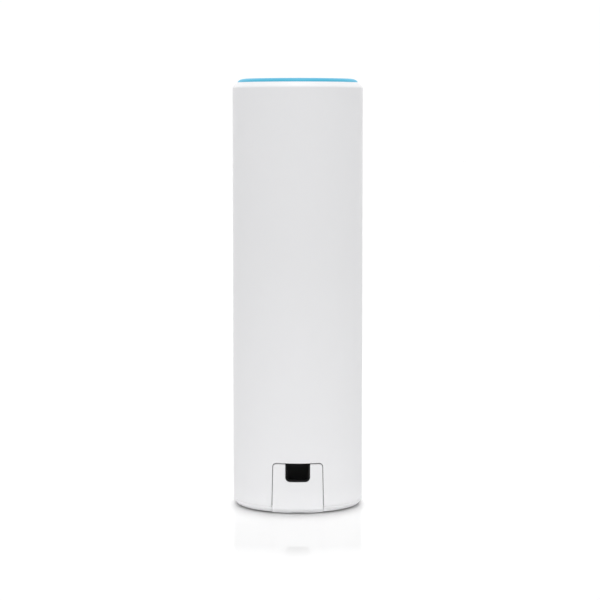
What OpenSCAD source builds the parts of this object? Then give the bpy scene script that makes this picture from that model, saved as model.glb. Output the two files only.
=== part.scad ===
// Free-standing mesh wifi node: a white upright tube with a light ring round its top,
// a pull-off cover over the cable bay at the foot, and the radio assembly inside.
// +Z is up, the table is z = 0, the axis of the tube is x = y = 0 and the cover faces -Y.

/* [Body] */
// Outside diameter of the tube
body_d = 48.5; // [46:0.5:60]
// Overall height, from the table to the middle of the cap
body_h = 160; // [140:1:200]
// Wall thickness of the outer shell
wall = 2; // [1.6:0.1:2.6]
// Radial width of the bevel round the top
bevel_w = 1.8; // [1.2:0.1:2.6]
// Height of the bevel round the top
bevel_h = 1.8; // [1.2:0.1:2.6]
// Height of the base's rim above its underside
rim_h = 2.05; // [1.2:0.05:3]
// How far the rim's chamfer goes in at the bottom
rim_in = 1.25; // [0.5:0.05:2]
// Height of the rim's upright band, above its chamfer
rim_band = 0.65; // [0.1:0.05:1]
// Gap between the shell and the base's rim
seam_gap = 0.05; // [0.05:0.05:0.4]

/* [Light] */
// Width of the light ring, seen from above
ring_w = 2.4; // [1.6:0.1:3]
// How far the light ring stands above the bevel
ring_rise = 1.4; // [0.8:0.1:2.2]
// How far the middle of the cap stands above the light ring's edge
cap_crown = 0.3; // [0.1:0.05:0.8]
// Number of lamps under the light ring
led_count = 12; // [6:1:20]

/* [Cover] */
// Width of the cover at the table
cover_w = 18.9; // [15:0.1:22.5]
// How much narrower the cover is at its top
cover_taper = 0.7; // [0:0.05:1.5]
// Height of the cover's top edge
cover_h = 18.55; // [14:0.05:24]
// Radius of the cover's top corners
cover_corner = 1; // [0.5:0.1:2]
// Gap beside the cover
cover_gap = 0.2; // [0.15:0.05:0.5]
// Gap over the cover
top_gap = 0.35; // [0.15:0.05:0.6]
// Gap between the cover's foot and the base
foot_gap = 0.12; // [0.08:0.02:0.4]
// Width of the cable notch
notch_w = 9.1; // [7:0.1:11]
// Depth of the cable notch
notch_h = 6.55; // [5:0.05:9]
// Radius of the notch's lower corners
notch_corner = 1.7; // [0.5:0.1:2.5]
// Thickness of the rubber lining in the notch
grommet_t = 0.75; // [0.5:0.05:1.2]

/* [Feet] */
// How far the rubber foot stands below the base's rim
foot_drop = 0.5; // [0.3:0.1:2]
// Width of the rubber foot
foot_w = 6; // [5.4:0.1:7]

/* [Port] */
// Width of the jack
jack_w = 16; // [14.5:0.1:19]
// Front-to-back size of the jack
jack_d = 15.6; // [14:0.1:16]
// Height of the jack
jack_h = 13; // [12:0.1:18]
// Width of the plug's way into the jack
plug_w = 11.9; // [11.7:0.05:12.4]
// Front-to-back size of the plug's way in, without its latch
plug_d = 6.9; // [6.7:0.05:7.4]
// Travel of the reset button
reset_travel = 0.4; // [0.2:0.05:0.6]

/* [Electronics] */
// Width of the main board
board_w = 34; // [30:1:36]
// Thickness of the circuit boards
board_t = 1.6; // [1:0.1:2]
// Thickness of the heat sink's plate
sink_plate = 4; // [2.5:0.1:5]
// Number of fins on the heat sink
fin_count = 7; // [4:1:9]
// Thickness of a fin
fin_t = 1.5; // [0.8:0.1:2]
// Diameter of the antenna leads
lead_d = 1.1; // [0.8:0.05:1.4]

/* [Hidden] */
$fn = 96;
fit = 0.15;
touch = 0.05;
body_r = body_d/2;
inner_r = body_r - wall;

// Levels at the top, counted down from the cap
ring_top = body_h - cap_crown;
lip_z = ring_top - ring_rise;
bevel_z = lip_z - bevel_h;
seat_depth = 1.9;
ledge_t = 1.6;
ledge_z = lip_z - seat_depth;
reflector_h = 1.5;
led_board_z1 = ledge_z - ledge_t - reflector_h - 0.1;
led_board_z0 = led_board_z1 - board_t;
deck_t = 2;
deck_z0 = led_board_z0 - deck_t;

// Radii at the top
seat_r = body_r - bevel_w;
ring_r = seat_r - 0.1;
ring_in = ring_r - ring_w;
dome_w = ring_w + 0.8;
ledge_r = seat_r - 1.85;
skirt_out = ledge_r - 0.2;
skirt_in = skirt_out - 1.5;
cap_r = ring_in - 0.1;
shoulder_z = lip_z - 0.4;
edge_round = 1.2;
led_r = (skirt_in + skirt_out)/2;
cap_boss_at = 12;
cap_boss_r = 2.4;

// Levels at the foot
rim_z0 = foot_drop;
rim_z1 = rim_z0 + rim_h;
shell_z0 = rim_z1 + seam_gap;
floor_t = 2;
floor_z = rim_z0 + floor_t;
pad_h = 2;
bay_top = cover_h + 4.6;
bulkhead_t = 2;
bulkhead_z = bay_top + bulkhead_t;
jack_z0 = bulkhead_z + 0.3;
port_board_z0 = jack_z0 + jack_h;
port_board_z1 = port_board_z0 + board_t;
frame_z1 = port_board_z1 + 2;

// The cover and the bay behind it
cover_t = wall;
cover_z0 = foot_drop - 0.2;
cover_foot_t = 1.8;
cover_lap = 0.45;
foot_end = -6.5;
bay_half = cover_w/2 - cover_lap;
bay_wall = 1.4;
bay_back = 3.2;
chassis_r = inner_r - fit;
spigot_h = 6;
spigot_t = 1.5;
tongue_w = 9;
tongue_t = 0.9;
tongue_l = 3;
arm_t = 1.1;
arm_w = 4;
arm_l = 6.5;
arm_z = 7;
arm_bump = 0.35;
arm_channel = arm_bump + 0.2;
pull_w = 5.6;
pull_h = 0.45;

// Screw bosses under the bulkhead and posts above it
boss_r = 2.6;
boss_ring = inner_r - 5.3;
boss_x = bay_half + bay_wall + boss_r + 1.2;
boss_y = sqrt(boss_ring*boss_ring - boss_x*boss_x);
boss_at = [for (sx = [-1, 1], sy = [-1, 1]) [sx*boss_x, sy*boss_y]];
post_r = 2.4;
post_ring = inner_r - 4.6;
post_at = [for (a = [30.6, 149.4, 210.6, 329.4]) post_ring*[cos(a), sin(a)]];
screw_r = 1.1;
head_r = 2;
head_h = 1.2;

// The jack, with its plug's latch towards the cover
jack_y = -6;
mouth_y1 = jack_y + 2.4;
mouth_y0 = mouth_y1 - plug_d;
latch_w = 6.4;
latch_d = 1.7;
plug_depth = jack_h - 1.2;
shield_t = 0.3;
pin_count = 8;
pin_pitch = 1.02;
pin_w = 0.46;
reset_x = 4.8;
reset_y = jack_y - jack_d/2 - 2.5;
reset_pin_r = 1.2;
switch_w = 4.2;
switch_h = 3;
stem_r = 0.9;
stem_out = 0.8;
stem_in = 1.1;

// The main board, its frame and what is on it
main_y0 = 0;
main_y1 = main_y0 + board_t;
main_z0 = frame_z1 + 1.9;
main_z1 = deck_z0 - 8;
rail_w = 4;
rail_t = 3.2;
rail_x1 = board_w/2 + 0.4;
rail_x0 = rail_x1 - rail_w;
frame_r = inner_r - 1;
frame_in = min(rail_x0 + 1.8, post_ring - post_r - touch);
chip_t = 1.2;
pad_t = 0.8;
sink_y0 = main_y1 + chip_t + pad_t;
sink_y1 = sink_y0 + sink_plate;
sink_x = rail_x0 - 0.5;
sink_r = inner_r - 1.6;
sink_z0 = main_z0 + 11;
sink_z1 = main_z1 - 5;
sink_leg_x = sink_x - 2.5;
sink_leg_z = [sink_z0 + 5, sink_z1 - 5];
mid_z = (sink_z0 + sink_z1)/2;
board_screw_x = rail_x1 - 2;
board_screw_z = [main_z0 + 5, main_z1 - 5];
can_w = 24;
can_h = 26;
can_t = 2.6;
can_skin = 0.25;
can_z = [mid_z - 17, mid_z + 17];
header_w = 20;

// The antennas, on the outside of their carrier
carrier_t = 1.2;
carrier_r = inner_r - 1.15;
carrier_z0 = frame_z1 + 20;
carrier_z1 = deck_z0 - 4;
carrier_a0 = 200;
carrier_a1 = 340;
carrier_mid = (carrier_a0 + carrier_a1)/2;
leg_a = 10;
window_a = carrier_mid - leg_a/2 - carrier_a0 - leg_a;
antenna_t = 0.35;
high_z = carrier_z1 - 22;
low_z = carrier_z0 + 12;
high_at = [214, 251, 289, 326];
low_at = [222, 318];
socket_w = 2.6;
socket_h = 1.2;
socket_x = can_w/2 + socket_w/2 + 0.2;
// Each lead: the angle and height of its antenna's feed, and the side and height of its socket
leads = [
    [high_at[0], high_z, -1, high_z - 6],
    [high_at[1], high_z, -1, high_z - 14],
    [high_at[2], high_z, 1, high_z - 14],
    [high_at[3], high_z, 1, high_z - 6],
    [low_at[0], low_z, -1, low_z + 10],
    [low_at[1], low_z, 1, low_z + 10]
];

// ---- Shapes that repeat ----

// Points on an arc of an ellipse
function arc(c, rx, ry, a0, a1, n = 6) =
    [for (i = [0:n]) let (a = a0 + (a1 - a0)*i/n) [c[0] + rx*cos(a), c[1] + ry*sin(a)]];

module tube(r0, r1, z0, z1) {
    difference() {
        translate([0, 0, z0]) cylinder(r = r1, h = z1 - z0);
        translate([0, 0, z0 - 1]) cylinder(r = r0, h = z1 - z0 + 2);
    }
}

module block(x0, x1, y0, y1, z0, z1) {
    translate([x0, y0, z0]) cube([x1 - x0, y1 - y0, z1 - z0]);
}

// Part of a ring, from angle a0 to a1
module sector(r0, r1, z0, z1, a0, a1) {
    rotate([0, 0, a0]) rotate_extrude(angle = a1 - a0) translate([r0, z0]) square([r1 - r0, z1 - z0]);
}

// Pan-head screw: the head is below z = 0 and the shank goes up
module screw(length, r = screw_r) {
    difference() {
        union() {
            translate([0, 0, -head_h]) cylinder(r1 = head_r*0.8, r2 = head_r, h = head_h/2);
            translate([0, 0, -head_h/2]) cylinder(r = head_r, h = head_h/2);
            cylinder(r = r, h = length - r);
            translate([0, 0, length - r]) cylinder(r1 = r, r2 = r*0.3, h = r);
        }
        for (a = [0, 90]) rotate([0, 0, a])
            translate([-head_r*0.55, -0.22, -head_h - 1]) cube([head_r*1.1, 0.44, 1.6]);
    }
}

// Flat chip on a face of the main board: side is -1 on the face towards the cover, 1 on the other
module chip(x, z, w, h, side = 1, t = chip_t) {
    y = side > 0 ? main_y1 : main_y0 - t;
    block(x - w/2, x + w/2, y, y + t, z - h/2, z + h/2);
}

// ---- The cover's outline, seen from the front ----

function cover_half(z) = cover_w/2 - cover_taper/2*z/cover_h;

// The cover's outline, grown at its sides and raised at its top
module cover_outline(grow, z0, rise = 0) {
    half = cover_half(cover_h);
    corner_z = cover_h - cover_corner + rise;
    polygon(concat(
        [[-cover_half(z0) - grow, z0], [cover_half(z0) + grow, z0]],
        arc([half - cover_corner, corner_z], cover_corner + grow, cover_corner + grow, 0, 90),
        arc([-half + cover_corner, corner_z], cover_corner + grow, cover_corner + grow, 90, 180)
    ));
}

// The notch's outline, grown or shrunk at its sides and foot, and open at the top
module notch_outline(grow, top) {
    half = notch_w/2 + grow;
    z0 = cover_h - notch_h - grow;
    r = notch_corner + grow;
    polygon(concat(
        [[half, top]],
        arc([half - r, z0 + r], r, r, 0, -90),
        arc([-half + r, z0 + r], r, r, -90, -180),
        [[-half, top]]
    ));
}

// Carries an outline drawn in x and z through the wall on the cover's side
module through_wall(y0 = -body_r - 2, y1 = -12) {
    translate([0, y1, 0]) rotate([90, 0, 0]) linear_extrude(y1 - y0) children();
}

// ---- The housing ----

module outer_shell() color([0.93, 0.93, 0.94]) {
    slope = atan2(bevel_w - 0.2, bevel_h);
    start = edge_round*tan(slope/2);
    difference() {
        rotate_extrude() polygon(concat(
            [[inner_r, shell_z0], [body_r, shell_z0]],
            arc([body_r - edge_round, bevel_z - start], edge_round, edge_round, 0, slope),
            [[seat_r + 0.2, lip_z], [seat_r, lip_z], [seat_r, ledge_z], [ledge_r, ledge_z],
             [ledge_r, ledge_z - ledge_t], [inner_r - 0.4, ledge_z - ledge_t],
             [inner_r, ledge_z - ledge_t - 0.4]]
        ));
        through_wall() cover_outline(cover_gap, 0, top_gap - cover_gap);
    }
}

module base() color([0.93, 0.93, 0.94]) {
    difference() {
        union() {
            rotate_extrude() polygon([
                [0, rim_z0], [body_r - rim_in, rim_z0], [body_r, rim_z1 - rim_band], [body_r, rim_z1],
                [chassis_r, rim_z1], [chassis_r, rim_z1 + spigot_h], [chassis_r - spigot_t, rim_z1 + spigot_h],
                [chassis_r - spigot_t, floor_z], [0, floor_z]
            ]);
            for (p = boss_at) translate([p[0], p[1], floor_z - 1]) cylinder(r = boss_r, h = pad_h + 1);
        }
        // The way in for the cover's foot, and room for the bay's walls
        through_wall(-body_r - 2, foot_end + fit) cover_outline(foot_gap, -1);
        block(-bay_half - bay_wall - fit, bay_half + bay_wall + fit, -body_r, bay_back + bay_wall,
              floor_z, rim_z1 + spigot_h + 1);
        // Groove for the rubber foot
        tube(foot_in(), foot_in() + foot_w, rim_z0 - 1, rim_z0 + 0.8);
        for (p = boss_at) translate([p[0], p[1], 0]) {
            cylinder(r = head_r + 0.3, h = rim_z0 + 0.8 + head_h + 0.2);
            cylinder(r = screw_r + 0.15, h = floor_z + pad_h + 1);
        }
    }
}

function foot_in() = boss_ring - foot_w/2;

module foot_ring() color([0.8, 0.8, 0.81]) {
    difference() {
        tube(foot_in() + 0.1, foot_in() + foot_w - 0.1, 0, rim_z0 + 0.8);
        block(-cover_w/2 - 1.2, cover_w/2 + 1.2, -body_r, 0, -1, rim_z0 + 2);
    }
}

module base_screws() color([0.75, 0.76, 0.78])
    for (p = boss_at) translate([p[0], p[1], rim_z0 + 0.8 + head_h + 0.2]) screw(9);

// ---- The chassis: the cable bay below and the bulkhead above it ----

module chassis() color([0.08, 0.08, 0.085]) {
    wall_z0 = floor_z + touch;
    difference() {
        union() {
            translate([0, 0, bay_top]) cylinder(r = chassis_r, h = bulkhead_t);
            tube(chassis_r - 2.6, chassis_r, bay_top, bay_top + 4.6);
            intersection() {
                translate([0, 0, wall_z0]) cylinder(r = chassis_r, h = bay_top - wall_z0 + 1);
                difference() {
                    block(-bay_half - bay_wall, bay_half + bay_wall, -body_r, bay_back + bay_wall,
                          wall_z0, bay_top + 0.5);
                    block(-bay_half, bay_half, -body_r - 1, bay_back, wall_z0 - 1, bay_top);
                }
            }
            for (p = boss_at) translate([p[0], p[1], floor_z + pad_h + touch])
                cylinder(r = boss_r, h = bay_top - floor_z - pad_h);
            for (p = post_at) translate([p[0], p[1], bay_top + 1])
                cylinder(r = post_r, h = port_board_z0 - bay_top - 1);
        }
        // Groove for the seal
        tube(chassis_r - 1, chassis_r + 1, bay_top + 1.4, bay_top + 3.2);
        // The jack's mouth and the reset button's hole
        block(-plug_w/2 - 0.4, plug_w/2 + 0.4, mouth_y0 - 0.4, mouth_y1 + 0.4, bay_top - 1, bulkhead_z + 1);
        block(-latch_w/2 - 0.4, latch_w/2 + 0.4, mouth_y0 - latch_d - 0.4, mouth_y0, bay_top - 1, bulkhead_z + 1);
        translate([reset_x, reset_y, bay_top - 1]) cylinder(r = reset_pin_r + fit, h = bulkhead_t + 2);
        // Channels for the ends of the cover's arms
        for (s = [-1, 1]) scale([s, 1, 1])
            block(bay_half - 1, bay_half + arm_channel, -body_r, arm_tip() + 0.6,
                  arm_z - 0.5, arm_z + arm_w + 0.5);
        for (p = boss_at) translate([p[0], p[1], 0]) cylinder(r = screw_r + 0.03, h = floor_z + pad_h + 8);
        for (p = post_at) translate([p[0], p[1], port_board_z0 - 7.5]) cylinder(r = screw_r + 0.03, h = 20);
    }
}

module bulkhead_seal() color([0.75, 0.3, 0.2])
    tube(chassis_r - 0.95, inner_r - 0.03, bay_top + 1.5, bay_top + 3.1);

// ---- The cover over the bay ----

function arm_root() = -sqrt((body_r - cover_t)*(body_r - cover_t) - bay_half*bay_half);
function arm_tip() = arm_root() + arm_l;

module port_cover() color([0.93, 0.93, 0.94]) {
    foot_z1 = cover_z0 + cover_foot_t;
    difference() {
        union() {
            intersection() {
                rotate_extrude() polygon([
                    [0, cover_z0], [body_r - rim_in, cover_z0], [body_r - rim_in, rim_z0], [body_r, rim_z1 - rim_band],
                    [body_r, cover_h + 1], [body_r - cover_t, cover_h + 1], [body_r - cover_t, foot_z1],
                    [0, foot_z1]
                ]);
                through_wall(-body_r - 2, foot_end) cover_outline(0, 0);
            }
            block(-tongue_w/2, tongue_w/2, foot_end - 2, foot_end, foot_z1 - 0.5, floor_z + touch + tongue_t);
            block(-tongue_w/2, tongue_w/2, foot_end - 1, foot_end + tongue_l,
                  floor_z + touch, floor_z + touch + tongue_t);
            for (s = [-1, 1]) scale([s, 1, 1]) cover_arm();
        }
        through_wall() notch_outline(0, cover_h + 2);
        // Pull for a fingernail under the front edge
        block(-pull_w/2, pull_w/2, -body_r - 1, -body_r + rim_in + 1.2, -1, cover_z0 + pull_h);
    }
}

// One of the two arms that hold the cover, with a bump that runs in the bay wall's channel
module cover_arm() {
    x1 = bay_half - 0.2;
    block(x1 - arm_t, x1, arm_root() - 0.6, arm_tip(), arm_z, arm_z + arm_w);
    translate([0, 0, arm_z]) linear_extrude(arm_w) polygon([
        [x1 - 0.1, arm_tip()], [x1 - 0.1, arm_tip() - 2],
        [x1 + arm_bump, arm_tip() - 1.2], [x1 + arm_bump, arm_tip() - 0.8]
    ]);
}

module cable_grommet() color([0.03, 0.03, 0.03]) {
    difference() {
        union() {
            intersection() {
                tube(body_r - cover_t - 0.9, body_r - 0.2, 0, cover_h);
                through_wall() notch_outline(-0.02, cover_h);
            }
            intersection() {
                tube(body_r - cover_t - 0.9, body_r - cover_t - 0.03, 0, cover_h);
                through_wall() notch_outline(0.9, cover_h);
            }
        }
        through_wall() notch_outline(-grommet_t, cover_h + 2);
    }
}

// ---- The jack and the reset button ----

module jack_shield() color([0.8, 0.8, 0.78]) {
    difference() {
        block(-jack_w/2, jack_w/2, jack_y - jack_d/2, jack_y + jack_d/2, jack_z0, jack_z0 + jack_h - 0.1);
        block(-jack_w/2 + shield_t, jack_w/2 - shield_t, jack_y - jack_d/2 + shield_t,
              jack_y + jack_d/2 - shield_t, jack_z0 + shield_t, jack_z0 + jack_h + 1);
        plug_way(0.2, jack_z0 - 1, jack_z0 + 2);
    }
}

// The space that a plug and its latch take
module plug_way(grow, z0, z1) {
    block(-plug_w/2 - grow, plug_w/2 + grow, mouth_y0 - grow, mouth_y1 + grow, z0, z1);
    block(-latch_w/2 - grow, latch_w/2 + grow, mouth_y0 - latch_d - grow, mouth_y0, z0, z1);
}

module jack_insert() color([0.06, 0.06, 0.06]) {
    skin = shield_t + touch;
    difference() {
        block(-jack_w/2 + skin, jack_w/2 - skin, jack_y - jack_d/2 + skin, jack_y + jack_d/2 - skin,
              jack_z0 + skin, jack_z0 + jack_h - 0.1);
        plug_way(0, jack_z0 - 1, jack_z0 + plug_depth);
        // Slots for the contacts
        for (i = [0:pin_count - 1]) translate([pin_x(i), 0, 0])
            block(-pin_w/2 - 0.1, pin_w/2 + 0.1, mouth_y1 - 1, mouth_y1 + 1.2,
                  jack_z0 + 1, jack_z0 + plug_depth);
    }
}

function pin_x(i) = (i - (pin_count - 1)/2)*pin_pitch;

module jack_contacts() color([0.85, 0.68, 0.3])
    for (i = [0:pin_count - 1]) translate([pin_x(i) + pin_w/2, 0, 0])
        rotate([0, -90, 0]) linear_extrude(pin_w) polygon([
            [jack_z0 + 1.3, mouth_y1 + 0.9], [jack_z0 + 1.3, mouth_y1 + 0.6],
            [jack_z0 + plug_depth - 1.6, mouth_y1 - 1.7], [jack_z0 + plug_depth - 1.4, mouth_y1 - 1.5],
            [jack_z0 + 1.9, mouth_y1 + 0.7], [jack_z0 + plug_depth - 0.1, mouth_y1 + 0.7],
            [jack_z0 + plug_depth - 0.1, mouth_y1 + 1.1], [jack_z0 + 1.5, mouth_y1 + 1.1]
        ]);

module reset_switch() color([0.12, 0.12, 0.13])
    translate([reset_x, reset_y, 0]) difference() {
        block(-switch_w/2, switch_w/2, -switch_w/2, switch_w/2, port_board_z0 - switch_h - touch,
              port_board_z0 - touch);
        translate([0, 0, port_board_z0 - switch_h - 1])
            cylinder(r = stem_r + 0.06, h = stem_in + reset_travel + 1.3);
    }

module reset_stem() color([0.9, 0.9, 0.9])
    translate([reset_x, reset_y, port_board_z0 - switch_h - stem_out]) cylinder(r = stem_r, h = stem_out + stem_in);

module reset_button() color([0.85, 0.86, 0.87])
    translate([reset_x, reset_y, 0]) {
        translate([0, 0, bay_top - 0.8]) cylinder(r = reset_pin_r, h = bulkhead_t + 2);
        translate([0, 0, bulkhead_z + touch]) cylinder(r = reset_pin_r + 0.8, h = 1);
        translate([0, 0, bulkhead_z]) cylinder(r = reset_pin_r,
            h = port_board_z0 - switch_h - stem_out - bulkhead_z);
    }

// ---- The port board ----

module port_board() color([0.1, 0.35, 0.22])
    difference() {
        translate([0, 0, port_board_z0]) cylinder(r = inner_r - 1.35, h = board_t);
        for (p = post_at) translate([p[0], p[1], port_board_z0 - 1]) cylinder(r = screw_r + 0.1, h = 4);
    }

module network_transformer() color([0.07, 0.07, 0.08])
    block(-6.5, 6.5, -12.4, -5.6, port_board_z1, port_board_z1 + 5.8);

module power_transformer() color([0.2, 0.2, 0.21]) {
    z0 = port_board_z1;
    block(-6, 6, 4.2, 12.6, z0, z0 + 1.4);
    block(-3.6, 3.6, 4.4, 12.4, z0 + 1, z0 + 8);
    block(-5.8, 5.8, 5.4, 11.4, z0 + 2.2, z0 + 7.2);
    block(-6, 6, 4.2, 12.6, z0 + 7.6, z0 + 9);
}

module filter_capacitors() color([0.2, 0.22, 0.26])
    for (s = [-1, 1]) translate([s*10, 5.6, port_board_z1]) {
        cylinder(r = 2.6, h = 0.8);
        cylinder(r = 2.4, h = 7.6);
    }

module power_inductors() color([0.3, 0.3, 0.31])
    for (s = [-1, 1])
        block(s*10.2 - 2.2, s*10.2 + 2.2, -7.4, -3, port_board_z1, port_board_z1 + 3);

module board_header() color([0.07, 0.07, 0.07])
    difference() {
        block(-header_w/2, header_w/2, main_y0 - 2.4, main_y0 - touch, port_board_z1, main_z0 + 4.5);
        for (i = [-4:4])
            block(i*2 - 0.35, i*2 + 0.35, main_y0 - 1.5, main_y0 - 0.8, main_z0 + 3, main_z0 + 5);
    }

module frame_screws() color([0.75, 0.76, 0.78])
    for (p = post_at) translate([p[0], p[1], frame_z1]) rotate([180, 0, 0]) screw(9);

// ---- The frame and the main board ----

module inner_frame() color([0.22, 0.22, 0.23]) {
    difference() {
        union() {
            tube(frame_in, frame_r, port_board_z1, frame_z1);
            for (s = [-1, 1]) scale([s, 1, 1])
                block(rail_x0, rail_x1, main_y1 + touch, main_y1 + touch + rail_t, frame_z1 - 1, deck_z0 + 1);
            translate([0, 0, deck_z0]) cylinder(r = frame_r, h = deck_t);
        }
        translate([0, 0, deck_z0 - 1]) cylinder(r = 6, h = deck_t + 2);
        // Slot for the lamp board's flat cable
        block(-4, 4, -12, 0, deck_z0 - 1, led_board_z0 + 1);
        for (p = post_at) translate([p[0], p[1], 0]) cylinder(r = screw_r + 0.1, h = frame_z1 + 1);
        at_cap_bosses() translate([0, 0, deck_z0 - 1]) cylinder(r = screw_r + 0.1, h = deck_t + 2);
        at_board_screws() cylinder(r = screw_r + 0.03, h = 8);
    }
}

module at_cap_bosses()
    for (a = [90, 210, 330]) rotate([0, 0, a]) translate([cap_boss_at, 0, 0]) children();

module at_board_screws()
    for (s = [-1, 1], z = board_screw_z)
        translate([s*board_screw_x, main_y0, z]) rotate([-90, 0, 0]) children();

module at_sink_screws()
    for (s = [-1, 1], z = sink_leg_z)
        translate([s*sink_leg_x, main_y0, z]) rotate([-90, 0, 0]) children();

module main_board() color([0.1, 0.35, 0.22])
    difference() {
        block(-board_w/2, board_w/2, main_y0, main_y1, main_z0, main_z1);
        at_board_screws() translate([0, 0, -1]) cylinder(r = screw_r + 0.1, h = board_t + 2);
        at_sink_screws() translate([0, 0, -1]) cylinder(r = screw_r + 0.1, h = board_t + 2);
    }

module board_screws() color([0.75, 0.76, 0.78]) at_board_screws() screw(board_t + 2.8);

module heat_sink_screws() color([0.75, 0.76, 0.78]) at_sink_screws() screw(sink_y1 - main_y0 - 0.8);

module processor_chip() color([0.1, 0.1, 0.1]) chip(0, mid_z, 17, 17);

module radio_chips() color([0.1, 0.1, 0.1])
    for (s = [-1, 1]) chip(0, mid_z + s*22, 12, 12);

module memory_chips() color([0.1, 0.1, 0.1])
    for (s = [-1, 1]) chip(s*5.4, mid_z - 12.2, 9, 6, 1, 1);

module flash_chip() color([0.1, 0.1, 0.1]) chip(0, mid_z, 8, 5.4, -1, 1);

module amplifier_chips() color([0.1, 0.1, 0.1])
    for (z = can_z, s = [-1, 1], t = [-1, 1]) chip(s*6, z + t*7, 4, 4, -1, 0.9);

module thermal_pads() color([0.45, 0.55, 0.75])
    for (p = [[0, 16], [-22, 11], [22, 11]])
        block(-p[1]/2, p[1]/2, main_y1 + chip_t, sink_y0, mid_z + p[0] - p[1]/2, mid_z + p[0] + p[1]/2);

module heat_sink() color([0.78, 0.79, 0.8])
    difference() {
        union() {
            intersection() {
                union() {
                    block(-sink_x, sink_x, sink_y0, sink_y1, sink_z0, sink_z1);
                    for (i = [0:fin_count - 1]) {
                        x = -sink_x + fin_t/2 + i*(2*sink_x - fin_t)/(fin_count - 1);
                        block(x - fin_t/2, x + fin_t/2, sink_y1 - 1, body_r, sink_z0, sink_z1);
                    }
                }
                cylinder(r = sink_r, h = body_h);
            }
            at_sink_screws() translate([0, 0, board_t]) cylinder(r = 2.2, h = sink_y0 - main_y1 + 0.5);
        }
        at_sink_screws() cylinder(r = screw_r + 0.03, h = sink_y1 - main_y0 - 0.5);
    }

module shield_can(z) color([0.8, 0.8, 0.78])
    difference() {
        block(-can_w/2, can_w/2, main_y0 - can_t, main_y0, z - can_h/2, z + can_h/2);
        block(-can_w/2 + can_skin, can_w/2 - can_skin, main_y0 - can_t + can_skin, main_y0 + 1,
              z - can_h/2 + can_skin, z + can_h/2 - can_skin);
    }

// ---- The antennas and their leads ----

module antenna_carrier() color([0.9, 0.9, 0.88])
    difference() {
        sector(carrier_r - carrier_t, carrier_r, frame_z1 + touch, carrier_z1, carrier_a0, carrier_a1);
        // Openings at the foot, which leave three legs, and windows between the antennas
        for (a = [carrier_a0 + leg_a, carrier_mid + leg_a/2]) {
            sector(carrier_r - 3, carrier_r + 1, frame_z1 - 1, carrier_z0, a, a + window_a);
            sector(carrier_r - 3, carrier_r + 1, low_z + 24, high_z - 8, a, a + window_a);
        }
        for (l = leads) rotate([0, 0, l[0]]) translate([carrier_r - 3, 0, l[1]])
            rotate([0, 90, 0]) cylinder(r = lead_d/2 + 0.3, h = 4);
    }

// A bent strip antenna: a bar across the top, a feed leg in the middle and a grounding leg
module strip_antenna(a, z, span, bar_h, leg_h) color([0.78, 0.66, 0.4]) {
    r0 = carrier_r + touch;
    r1 = r0 + antenna_t;
    difference() {
        sector(r0, r1, z - 4, z + leg_h + bar_h, a - span/2, a + span/2);
        sector(r0 - 1, r1 + 1, z - 5, z + leg_h, a + 3, a + span/2 + 1);
        sector(r0 - 1, r1 + 1, z - 1.5, z + leg_h, a - span/2 + 5, a - 3);
    }
}

// Points on a cubic curve with four control points
function curve(p, n) = [for (i = [0:n]) let (t = i/n, u = 1 - t)
    u*u*u*p[0] + 3*u*u*t*p[1] + 3*u*t*t*p[2] + t*t*t*p[3]];
function unit(v) = v/norm(v);

// A round tube swept along points, as one closed polyhedron
module swept_tube(points, r, sides = 8) {
    last = len(points) - 1;
    rings = [for (i = [0:last])
        let (d = unit(points[min(i + 1, last)] - points[max(i - 1, 0)]),
             u = unit(cross(d, [0.1, 0.2, 0.97])), v = cross(d, u))
        [for (k = [0:sides - 1]) points[i] + r*(cos(360*k/sides)*u + sin(360*k/sides)*v)]];
    polyhedron(
        points = [for (ring = rings, p = ring) p],
        faces = concat(
            [[for (k = [0:sides - 1]) k]],
            [for (i = [0:last - 1], k = [0:sides - 1])
                [i*sides + k, (i + 1)*sides + k, (i + 1)*sides + (k + 1)%sides]],
            [for (i = [0:last - 1], k = [0:sides - 1])
                [i*sides + k, (i + 1)*sides + (k + 1)%sides, i*sides + (k + 1)%sides]],
            [[for (k = [sides - 1:-1:0]) last*sides + k]]
        )
    );
}

module antenna_lead(l) color([0.1, 0.1, 0.1]) {
    out = [cos(l[0]), sin(l[0]), 0];
    feed = carrier_r*out + [0, 0, l[1]];
    plug = [l[2]*socket_x, main_y0 - socket_h - 0.7, l[3]];
    swept_tube(curve([feed, feed - 9*out, plug + [-l[2]*1, -9, 1], plug + [0, -0.6, 0]], 16), lead_d/2);
}

module at_sockets()
    for (l = leads) translate([l[2]*socket_x, main_y0, l[3]]) rotate([90, 0, 0]) children();

module antenna_sockets() color([0.85, 0.68, 0.3]) at_sockets() {
    translate([-socket_w/2, -socket_w/2, 0]) cube([socket_w, socket_w, 0.4]);
    cylinder(r = 0.9, h = socket_h);
}

module antenna_plugs() color([0.85, 0.68, 0.3])
    at_sockets() translate([0, 0, socket_h + 0.02]) cylinder(r = 1.2, h = 0.6);

// ---- The light ring and the cap ----

module light_ring() color([0.2, 0.7, 0.95]) {
    top_angle = acos((ring_in - (ring_r - dome_w))/dome_w);
    rotate_extrude() polygon(concat(
        [[skirt_in, ledge_z - ledge_t], [skirt_out, ledge_z - ledge_t], [skirt_out, ledge_z + touch],
         [ring_r, ledge_z + touch]],
        arc([ring_r - dome_w, lip_z], dome_w, ring_rise, 0, top_angle, 10),
        [[ring_in, shoulder_z], [skirt_in, shoulder_z]]
    ));
}

// The light ring's height at its inner edge, where the cap goes on
function ring_edge_z() = lip_z + ring_rise*sin(acos((ring_in - (ring_r - dome_w))/dome_w));

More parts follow.
